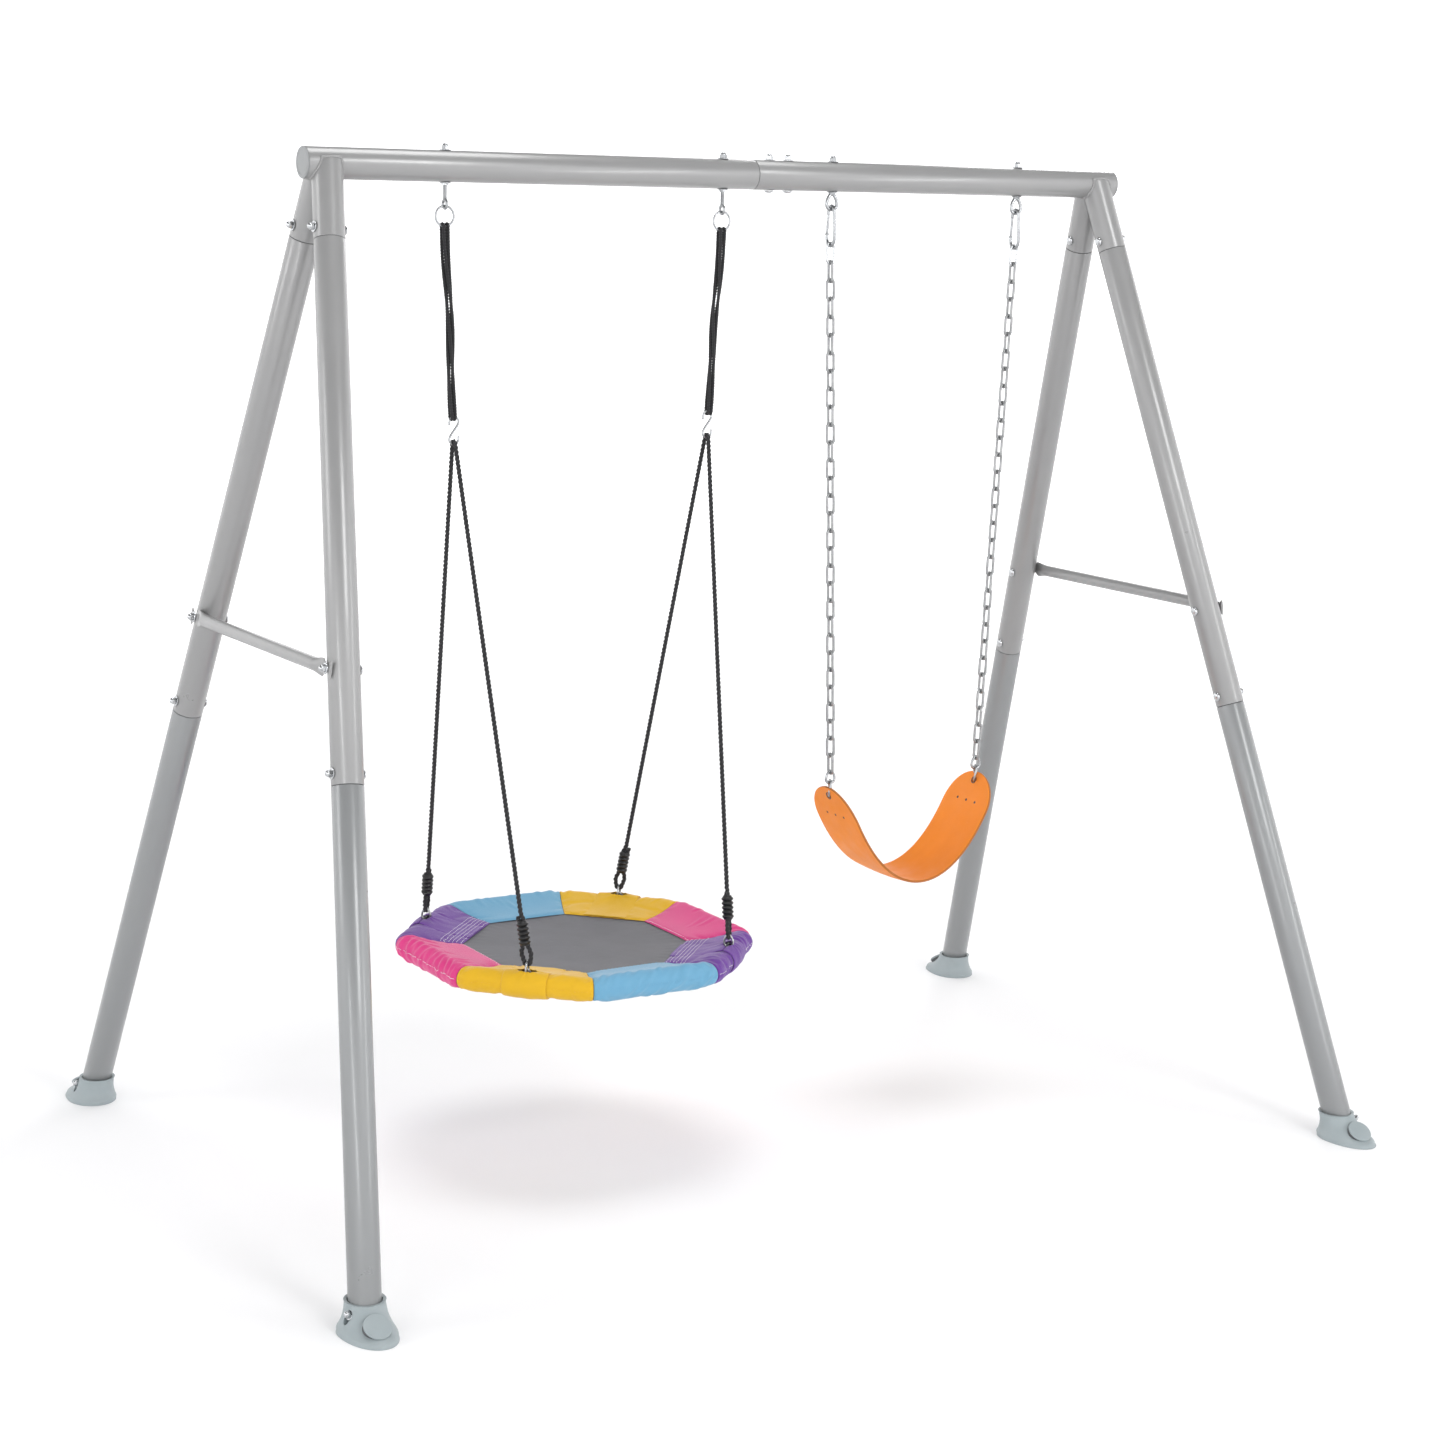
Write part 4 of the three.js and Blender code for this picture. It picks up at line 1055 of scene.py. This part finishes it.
# Folds are worked into the inflated cover: for each side their number, height, slant and spread.
FOLDS = {0: (12, 2.4, 0.5, 0.5), 1: (9, 2.0, 0.6, 0.4), 2: (11, 2.0, 0.35, 0.5), 3: (10, 1.8, 0.6, 0.5),
         4: (30, 3.8, 0.3, 0.35), 5: (9, 1.2, 0.4, 0.3), 6: (26, 3.8, 1.1, 0.45), 7: (13, 2.4, 0.3, 0.35)}
HIGHEST_FOLD = 3.4 * MM
chance = random.Random(11)
TOP_AT = section_at[SLOPE_POINTS] + START_R * (math.radians(50) - LEAVES_LOW)
folds = []
for k, (total, height, slant, spread) in FOLDS.items():
    for n in range(total):
        x = ((n + chance.uniform(0.1, 0.9)) / total - 0.5) * 2 * APOTHEM * HALF_TAN * 0.94
        if k in LUG_SIDES and abs(x) < BAND_HALF + 6 * MM:
            x = math.copysign(BAND_HALF + chance.uniform(2, 16) * MM, x)
        at = TOP_AT + chance.uniform(-1, 1) * spread * 120 * MM
        lean = slant * chance.uniform(0.35, 1) * (1 if k == 6 or chance.random() < 0.5 else -1)
        folds.append((k, x, at, lean, chance.uniform(14, 34) * MM, chance.uniform(3.6, 6.2) * MM,
                      height * chance.uniform(0.45, 1) * MM))


def fold_height(k, x, at):
    """How far the folds of side k raise the cover, x along the side and at along the section."""
    raised = 0.0
    for side, x0, at0, lean, half_length, width, height in folds:
        if side != k or abs(x - x0) > 70 * MM or abs(at - at0) > 60 * MM:
            continue
        size = math.hypot(1, lean)
        across = ((x - x0) - lean * (at - at0)) / size
        down = (lean * (x - x0) + (at - at0)) / size
        fade = math.exp(-(down / half_length) ** 4)
        ridge = math.exp(-(across / width) ** 2)
        trough = (math.exp(-((across - 1.9 * width) / width) ** 2)
                  + math.exp(-((across + 1.9 * width) / width) ** 2))
        raised += height * fade * (ridge - 0.42 * trough)
    return HIGHEST_FOLD * math.tanh(raised / HIGHEST_FOLD)


for i, (a, b) in enumerate(zip([section[0]] + section[:-1], section[1:] + [section[-1]])):
    dx, dy = b[0] - a[0], b[1] - a[1]
    size = math.hypot(dx, dy)
    for c in range(8 * COLUMNS):
        k, column = divmod(c, COLUMNS)
        x = (column / COLUMNS - 0.5) * 2 * APOTHEM * HALF_TAN
        edge = min(column, COLUMNS - column) * STEP / (14 * MM)
        raised = fold_height(k, x, section_at[i]) * min(edge, 1) * min(i / 5, (count - 1 - i) / 5, 1)
        turn = k * math.pi / 4
        points[c * count + i] += np.array((dy / size * math.cos(turn), dy / size * math.sin(turn),
                                           -dx / size)) * raised
cloth.data.vertices.foreach_set("co", points.ravel())
cloth.data.update()

# Two panels of each colour, with a slit over every lug.
sleeve_points = [Vector(p) for p in points]
SLIT_HALF, SLIT_WIDE = 19 * MM, 7.5 * MM


def is_slit(k, vector):
    if k not in LUG_SIDES:
        return False
    a = k * math.pi / 4
    local = vector - SAUCER
    along = -local.x * math.sin(a) + local.y * math.cos(a)
    out = local.x * math.cos(a) + local.y * math.sin(a) - APOTHEM
    return abs(along) < SLIT_HALF and abs(out) < 9 * MM and local.z > 0


skin_points, skin_faces = list(sleeve_points), list(faces)
bpy.data.objects.remove(cloth)
for color in COLORS:
    indices, panel_faces, panel_points, panel_uvs = {}, [], [], []
    for f, face in enumerate(faces):
        c = f // (count - 1)
        k = c // COLUMNS
        if PANELS[k] != color:
            continue
        middle = sum((sleeve_points[i] for i in face), Vector()) / 4
        if is_slit(k, middle):
            continue
        row = []
        for i in face:
            key = (i, k)
            if key not in indices:
                indices[key] = len(panel_points)
                panel_points.append(sleeve_points[i])
                u = uvs[i][0] if not (k == 7 and i < count) else 8 * UV_SIDE
                panel_uvs.append((u, uvs[i][1]))
            row.append(indices[key])
        panel_faces.append(tuple(row))
    panel = show(f"sleeve_{color}", (panel_points, panel_faces), COLORS[color], "saucer",
                 ("saucer_sleeve",) if color == "pink" else (), panel_uvs, sharp=180)
    thicken(panel, 1.2 * MM, -1)


# ---- wrap bands over the lugs ----
SLIT_AT = section_at[SLOPE_POINTS] + START_R * (math.pi / 2 - LEAVES_LOW)  # along the section


def band_point(k, along, at, lift):
    """A point on the cover's section, at a distance along it, raised by lift."""
    i = max(j for j in range(count - 1) if section_at[j] <= at or j == 0)
    share = (at - section_at[i]) / (section_at[i + 1] - section_at[i])
    (a, b), (c, d) = section[i], section[i + 1]
    size = math.hypot(c - a, d - b)
    out = a + (c - a) * share + (d - b) / size * lift
    up = b + (d - b) * share - (c - a) / size * lift
    return on_saucer(k, along / ((APOTHEM + out) * HALF_TAN), APOTHEM + out, up)


def band_lift(k, along, at):
    """How far the band stands off the cover: swollen at its middle, creased, and flat at the mat."""
    s = min(abs(along) / BAND_HALF, 1)
    on_tube = math.exp(-((at - SLIT_AT + 26 * MM) / (58 * MM)) ** 4)
    swell = math.sqrt(1 - s * s) * (0.35 + 0.65 * on_tube)
    from_slit = math.hypot(max(abs(along) - SLIT_HALF * 0.7, 0), at - SLIT_AT)
    pull = math.exp(-from_slit / (16 * MM))
    turn = math.atan2(at - SLIT_AT, along)
    crease = (math.sin(along * 190 + at * 60 + k) * 0.35 + math.sin(along * 88 - at * 75 + k * 2) * 0.5
              + math.sin(turn * 9 + k) * 1.5 * pull) * MM
    return 1.5 * MM + 3.4 * MM * swell + crease * (0.3 + 0.7 * swell)


for k in LUG_SIDES:
    rows = 52
    shapes, band_uvs = [], []
    for lower in (True, False):
        cells = 50 if lower else 34
        grid, skin = [], []
        for i in range(rows + 1):
            along = -BAND_HALF + 2 * BAND_HALF * i / rows
            near = math.sqrt(max(0.0, 1 - (along / SLIT_HALF) ** 2))
            slit = 0.3 * MM + SLIT_WIDE * near
            first, last = (section_at[0], SLIT_AT - slit) if lower else (SLIT_AT + slit, section_at[-1])
            for j in range(cells + 1):
                at = first + (last - first) * j / cells
                lip = 1.8 * MM * near * math.exp(-abs(at - (last if lower else first)) / (4 * MM))
                grid.append(band_point(k, along, at, band_lift(k, along, at) + lip))
                skin.append(band_point(k, along, at, band_lift(k, along, at) + lip + 0.8 * MM))
                band_uvs.append((along, at))
        patch = [(i * (cells + 1) + j, (i + 1) * (cells + 1) + j, (i + 1) * (cells + 1) + j + 1,
                  i * (cells + 1) + j + 1) for i in range(rows) for j in range(cells)]
        shapes.append((grid, patch))
        skin_faces += [tuple(i + len(skin_points) for i in face) for face in patch]
        skin_points += skin
    color = PANELS[k]
    band = show(f"wrap_band_{k}", merged(*shapes), COLORS[color], "saucer", (),
                band_uvs, sharp=180)
    thicken(band, 1.6 * MM, 0)

# ---- steel ring and lugs inside the sleeve ----
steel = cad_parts["saucer_tube"]
steel.data.materials.clear()
steel.data.materials.append(bare_steel)

# ---- stitching ----
whole = BVHTree.FromPolygons(skin_points, skin_faces)


def stitches(points, radius=0.45 * MM, dash=5.5 * MM, gap=3.0 * MM, lift=0.35 * MM):
    """Dashes of thread along a line of points near the sleeve, laid on its skin."""
    length = length_of(points)
    total = max(int(length / (dash + gap)), 1)
    fine = respaced(points, max(int(length / (1.4 * MM)), 4))
    shapes, reach, row = [], 0.0, []
    for i, p in enumerate(fine):
        found = whole.find_nearest(p)
        normal = found[1]
        if normal.dot(p - found[0]) < 0 and (p - found[0]).length > 1e-6:
            normal = -normal
        reach += (fine[i] - fine[i - 1]).length if i else 0
        inside = reach % (dash + gap) < dash
        if inside:
            row.append(found[0] + normal * lift)
        if (not inside or i == len(fine) - 1) and len(row) > 1:
            shapes.append(tube(row, radius, 6, domed=True))
        if not inside:
            row = []
    return shapes


def side_line(k, lo, hi, out, up=5 * MM):
    return [on_saucer(k, lo + (hi - lo) * i / 60, out, up) for i in range(61)]


white, plain = [], {"yellow": [], "blue": []}
for k in range(8):
    lines = stitches(side_line(k, -0.97, 0.97, FLANGE + 5 * MM))  # the seam that holds the mat
    spans = ((-0.96, -0.4), (0.4, 0.96)) if k in LUG_SIDES else ((-0.96, 0.96),)
    for lo, hi in spans:  # round the outside of the tube
        lines += stitches(side_line(k, lo, hi, APOTHEM + 30 * MM, 2 * MM))
    if PANELS[k] == "purple":  # rows on the slope, at the corner with pink
        for row in range(5):
            out, up = FLANGE + (13 + 8 * row) * MM, (9 + 1.5 * row) * MM
            lines += stitches(side_line(k, -0.97, 0.97, out, up))
    if PANELS[k] in plain:
        plain[PANELS[k]] += lines
    else:
        white += lines
show("stitching_white", merged(*white), thread_white, "saucer", sharp=60)
for color, lines in plain.items():
    show(f"stitching_{color}", merged(*lines), COLORS[color], "saucer", sharp=60)

# ---- mat ----
MAT_R = FLANGE + 14 * MM  # tucked into the flange
rings, per_side = 40, 24
vertices, uvs, faces = [SAUCER - Z * 7 * MM], [(0.0, 0.0)], []
for i in range(1, rings + 1):
    s = i / rings
    for k in range(8):
        for j in range(per_side):
            along = -1 + 2 * j / per_side
            p = on_saucer(k, along, MAT_R * s, 0)
            edge = max(0, (s - 0.8) / 0.2)
            sag = -7.0 * MM * (1 - s ** 2.2)
            pucker = 0.5 * MM * math.sin((k + along / 2) * 42) * edge * (1 - edge) * 4
            vertices.append(p + Z * (sag + pucker + 0.4 * MM * math.sin(p.x * 31 + p.y * 17)))
            uvs.append((p.x, p.y))
ring_count = 8 * per_side
faces += [(0, 1 + j, 1 + (j + 1) % ring_count) for j in range(ring_count)]
for i in range(rings - 1):
    a, b = 1 + i * ring_count, 1 + (i + 1) * ring_count
    faces += [(a + j, b + j, b + (j + 1) % ring_count, a + (j + 1) % ring_count)
              for j in range(ring_count)]
mat = show("mat_cloth", (vertices, faces), mat_weave, "saucer", ("saucer_mat",), uvs,
           sharp=180)
thicken(mat, 1.6 * MM, 0, finer=False)


# ---- belt swing: hooks and chains ----
def stadium(inner, width, wire):
    """The centreline of a chain link along Z, in the XZ plane, centred."""
    r = (width - wire) / 2
    straight = (inner + wire) / 2 - r
    top = [Vector((r * math.cos(a), 0, straight + r * math.sin(a)))
           for a in (math.pi * i / 12 for i in range(13))]
    return top + [Vector((-p.x, 0, -p.z)) for p in top]


SNAP_OUTLINE = ((14, 22), (13.5, 12), (8, 3), (0, 0), (-8, 3), (-13.5, 12), (-14.5, 28), (-12.5, 53),
                (-10.2, 72), (-6.8, 79), (0, 82), (6.8, 79), (10.2, 72.5), (11, 66))
GATE_PIVOT = (14, 24)  # across and up from the hook's bottom wire, as in the CAD source
LINKS = 30
SEAT_LINK_WIRE = 3 * MM
LINK_WIRE_D, LINK_WIDTH = 5.8 * MM, 22 * MM
belt_x = (middle_of("seat_link_left").x + middle_of("seat_link_right").x) / 2
for side_name, side in SIDES:
    snap_lo, snap_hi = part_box(f"snap_hook_{side_name}")
    x = (snap_lo.x + snap_hi.x) / 2
    wire = (snap_hi.x - snap_lo.x) / 2
    bottom = snap_lo.z + wire
    line = smooth_path([Vector((x, y * MM, bottom + z * MM)) for y, z in SNAP_OUTLINE], 130)
    show(f"snap_body_{side_name}", tube(line, wire, 18, domed=True), zinc_wire, "belt_hanger",
         (f"snap_hook_{side_name}",))
    low, high = axis_of(f"snap_gate_{side_name}", Z, 0.001)
    rod = tube([low.lerp(high, s) for s in (0, 0.1, 0.5, 0.9, 1)], 2.8 * MM, 18, domed=True)
    # The knuckle and pin are round about the gate's joint, so they meet the hook's end at every angle.
    pivot = Vector((x, GATE_PIVOT[0] * MM, bottom + GATE_PIVOT[1] * MM))
    knuckle = tube([pivot - X * 0.8 * MM, pivot + X * 0.8 * MM], 3.1 * MM, 18, domed=True)
    pin = tube([pivot - X * 4.6 * MM, pivot + X * 4.6 * MM], 1.3 * MM, 12, domed=True)
    show(f"gate_{side_name}", merged(rod, knuckle, pin), zinc_wire, f"gate_{side_name}",
         (f"snap_gate_{side_name}",))

    seat_lo, seat_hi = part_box(f"seat_link_{side_name}")
    seat_x = (seat_lo.x + seat_hi.x) / 2
    first = Vector((x, 0, bottom + wire + LINK_WIRE_D / 2))
    last = Vector((seat_x, 0, seat_hi.z - 2 * SEAT_LINK_WIRE - LINK_WIRE_D / 2))
    way = (last - first).normalized()
    pitch = ((last - first).length - LINK_WIRE_D) / LINKS
    line = stadium(pitch, LINK_WIDTH, LINK_WIRE_D)
    weld = lambda share: LINK_WIRE_D / 2 * (1 + 0.14 * math.exp(-((share - 0.75) / 0.02) ** 2))
    link = tube(respaced(line + line[:1], 44)[:-1], weld, 12, closed=True)
    links = []
    for i in range(LINKS):
        centre = first + way * (i * pitch + (pitch + LINK_WIRE_D) / 2)
        turn = i % 2 * math.pi / 2
        if 0 < i < LINKS - 1:
            turn += rng.uniform(-0.13, 0.13)
        links.append(moved(link, facing(-way, centre) @ Matrix.Rotation(turn, 4, "Z")))
    show(f"chain_links_{side_name}", merged(*links[1:]), chain_metal, "belt_hanger",
         (f"chain_{side_name}",))
    show(f"first_link_{side_name}", links[0], first_link_metal, "belt_hanger")

# ---- belt ----
belt_lo, belt_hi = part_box("belt_seat")
BELT_HALF_WIDTH = (belt_hi.y - belt_lo.y) / 2
BELT_THICK = 5.5 * MM
BELT_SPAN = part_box("seat_link_right")[0].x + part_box("seat_link_right")[1].x - 2 * belt_x
HOLE_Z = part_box("seat_link_right")[0].z + SEAT_LINK_WIRE
HOLE_TO_END = 20 * MM
HOLE_R, DARK_RING_BORE_R = 6.6 * MM, 1.2 * MM
SMALL_HOLES, SMALL_HOLES_IN, SMALL_HOLE_R = (-32 * MM, 0, 32 * MM), 48 * MM, 3.2 * MM
belt_low = belt_lo.z + BELT_THICK / 2
drop = HOLE_Z - belt_low
lo, hi = BELT_SPAN / 12, BELT_SPAN * 3
for _ in range(60):
    scale = (lo + hi) / 2
    lo, hi = (scale, hi) if scale * (math.cosh(BELT_SPAN / 2 / scale) - 1) > drop else (lo, scale)
hole_arc = scale * math.sinh(BELT_SPAN / 2 / scale)
belt_arc = hole_arc + HOLE_TO_END


def on_belt(arc, y, height):
    """A flat belt's point (along, across, above its middle) on the hanging belt."""
    x = scale * math.asinh(arc / scale)
    rise = scale * (math.cosh(x / scale) - 1)
    slope = math.sinh(x / scale)
    along = Vector((1, 0, slope)).normalized()
    cup = 3.5 * MM * (y / BELT_HALF_WIDTH) ** 2 * math.exp(-(arc / 0.16) ** 2)
    return Vector((belt_x + x, y, belt_low + rise)) + Vector((-along.z, 0, along.x)) * (height + cup)


def belt_half_width(arc):
    into = max(0.0, abs(arc) - (belt_arc - BELT_HALF_WIDTH))
    return math.sqrt(max(BELT_HALF_WIDTH ** 2 - into ** 2, 0))


def flat_belt():
    """The belt laid flat, with a rounded edge."""
    steps, across, edge = 130, 30, 7
    half = BELT_THICK / 2
    rings = []
    for i in range(steps + 1):
        arc = -(belt_arc - 0.4 * MM) * math.cos(math.pi * i / steps)
        wide = belt_half_width(arc)
        turn = half * min(1, wide / (9 * MM))
        inner = wide - turn
        ring = []
        for j in range(across + 1):
            ring.append(Vector((arc, -inner + 2 * inner * j / across, -turn)))
        for j in range(1, edge):
            a = -math.pi / 2 + math.pi * j / edge
            ring.append(Vector((arc, inner + turn * math.cos(a), turn * math.sin(a))))
        for j in range(across + 1):
            ring.append(Vector((arc, inner - 2 * inner * j / across, turn)))
        for j in range(1, edge):
            a = math.pi / 2 + math.pi * j / edge
            ring.append(Vector((arc, -inner + turn * math.cos(a), turn * math.sin(a))))
        rings.append(ring)
    return loft(rings)


belt = linked("belt_rubber_seat", mesh_of("belt_rubber_seat", flat_belt()))
drills = []
for side in (-1, 1):
    spots = [(hole_arc, 0, HOLE_R)]
    spots += [(hole_arc - SMALL_HOLES_IN, y, SMALL_HOLE_R) for y in SMALL_HOLES]
    for arc, y, r in spots:
        drill = turned([(0, -0.02), (r, -0.02), (r, 0.02), (0, 0.02)], 28)
        drills.append(moved(drill, Matrix.Translation(Vector((side * arc, y, 0)))))
belt.data.materials.append(belt_rubber)
belt.data.materials.append(belt_edge)
for polygon in belt.data.polygons:
    polygon.material_index = int(abs(polygon.normal.z) < 0.8)
cut_away(belt, merged(*drills))
for vertex in belt.data.vertices:
    vertex.co = on_belt(*vertex.co)
belt.data.shade_smooth()
belt.data.set_sharp_from_angle(angle=math.radians(50))
place(belt, "belt", ("belt_seat",))
# Dark rings round the big holes, on both faces, and dark rings that fill most of each small hole.
dark_rims = []
for side in (-1, 1):
    for face in (-1, 1):
        middle = on_belt(side * hole_arc, 0, face * BELT_THICK / 2)
        normal = on_belt(side * hole_arc, 0, face * 0.01) - on_belt(side * hole_arc, 0, 0)
        line = [Vector((7.4 * MM * math.cos(a), 7.4 * MM * math.sin(a), 0))
                for a in angles(36)]
        dark_rims.append(moved(tube(line, 1.1 * MM, 10, closed=True), facing(normal.normalized(), middle)))
    for y in SMALL_HOLES:  # dark rings in the small holes
        arc = side * (hole_arc - SMALL_HOLES_IN)
        low, high = (on_belt(arc, y, face * BELT_THICK * 0.46) for face in (-1, 1))
        r = SMALL_HOLE_R - 0.1 * MM
        deep = (high - low).length
        dark_ring = turned([(DARK_RING_BORE_R, 0), (r, 0), (r, deep), (DARK_RING_BORE_R, deep),
                         (DARK_RING_BORE_R, 0)], 20)
        dark_rims.append(moved(dark_ring, facing((high - low).normalized(), low)))
show("belt_hole_dark_rims", merged(*dark_rims), hole_dark_rim, "belt")

for side_name, side in SIDES:
    # A pear link from the chain and a long link through the belt's hole.
    seat_lo, seat_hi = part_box(f"seat_link_{side_name}")
    x = (seat_lo.x + seat_hi.x) / 2
    top = seat_hi.z - SEAT_LINK_WIRE
    pear = [Vector((x + 10.5 * MM * math.sin(a) * (1 + 0.3 * math.cos(a)), 0,
                    top - 13.5 * MM - 13.5 * MM * math.cos(a))) for a in angles(48)]
    pear_low = top - 27 * MM
    loop = []
    low = HOLE_Z - 2 * MM
    tall = (pear_low + 2 * SEAT_LINK_WIRE) - low
    for a in angles(56):
        loop.append(Vector((x + 14 * MM * math.sin(a) * (0.35 + 0.3 * math.cos(a)),
                            8.2 * MM * math.sin(a), low + tall / 2 - tall / 2 * math.cos(a))))
    shape = merged(tube(pear, 2.7 * MM, 14, closed=True), tube(loop, 2.7 * MM, 14, closed=True))
    show(f"seat_links_{side_name}", shape, zinc_wire, "belt", (f"seat_link_{side_name}",))

# ---- floor and light ----
# A round white studio: a flat floor that curves up into a glowing wall.
studio = Look("studio", "#e6e6e7", 0.9)
studio.raise_by(studio.noise(40, 3), 0.0005, 0.1)
distance = studio.node("ShaderNodeVectorMath", {"Vector": studio.place.outputs["Object"]},
                       operation="LENGTH").outputs["Value"]
glow = studio.node("ShaderNodeMapRange", {
    "Value": distance, "From Min": 1.0, "From Max": 11.0, "To Min": 0.13, "To Max": 0.8}).outputs["Result"]
studio.tree.links.new(glow, studio.surface.inputs["Emission Strength"])
studio.set("Emission Color", (1, 1, 1, 1))
bowl = [(0, 0)] + [(1.5 * i, 0) for i in range(1, 8)]
bowl += [(10.5 + 3.5 * math.sin(a * math.pi / 24), 3.5 - 3.5 * math.cos(a * math.pi / 24))
         for a in range(1, 13)]
bowl += [(14, 8)]
floor = linked("floor", mesh_of("floor", turned(bowl, 96)))
floor.data.materials.append(studio.material)
floor.data.shade_smooth()
floor.location = Vector((0, 0, cad_lo.z - 0.0005))


def softbox(name, at, towards, size, power):
    light = linked(name, bpy.data.lights.new(name, "AREA"))
    light.data.shape, light.data.size, light.data.energy = "SQUARE", size, power
    light.matrix_world = facing(Vector(at) - Vector(towards), Vector(at))
    return light


softbox("key", (0.6, -6.8, 5.0), (0, 0, 0.9), 2.2, 150)
softbox("top", (0.2, 0.4, 6.5), (0, 0, 0), 3.0, 150)
for name, x, y in (("strip_left", -4.6, -3.4), ("strip_right", 3.2, -4.4)):
    strip = softbox(name, (x, y, 1.7), (0, 0, 1.1), 0.22, 34)
    strip.data.shape, strip.data.size_y = "RECTANGLE", 3.2
softbox("side", (-6.5, 1.5, 3.4), (0, 0, 1.2), 2.2, 50)
softbox("back", (5.5, 4.5, 4.6), (0, 0, 1.0), 2.2, 80)
world = bpy.data.worlds.new("world")
bpy.context.scene.world = world
world.use_nodes = True
world.node_tree.nodes["Background"].inputs["Color"].default_value = (1, 1, 1, 1)
world.node_tree.nodes["Background"].inputs["Strength"].default_value = 0.25
bpy.context.scene.view_settings.view_transform = "Standard"
floor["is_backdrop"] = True

lo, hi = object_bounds()
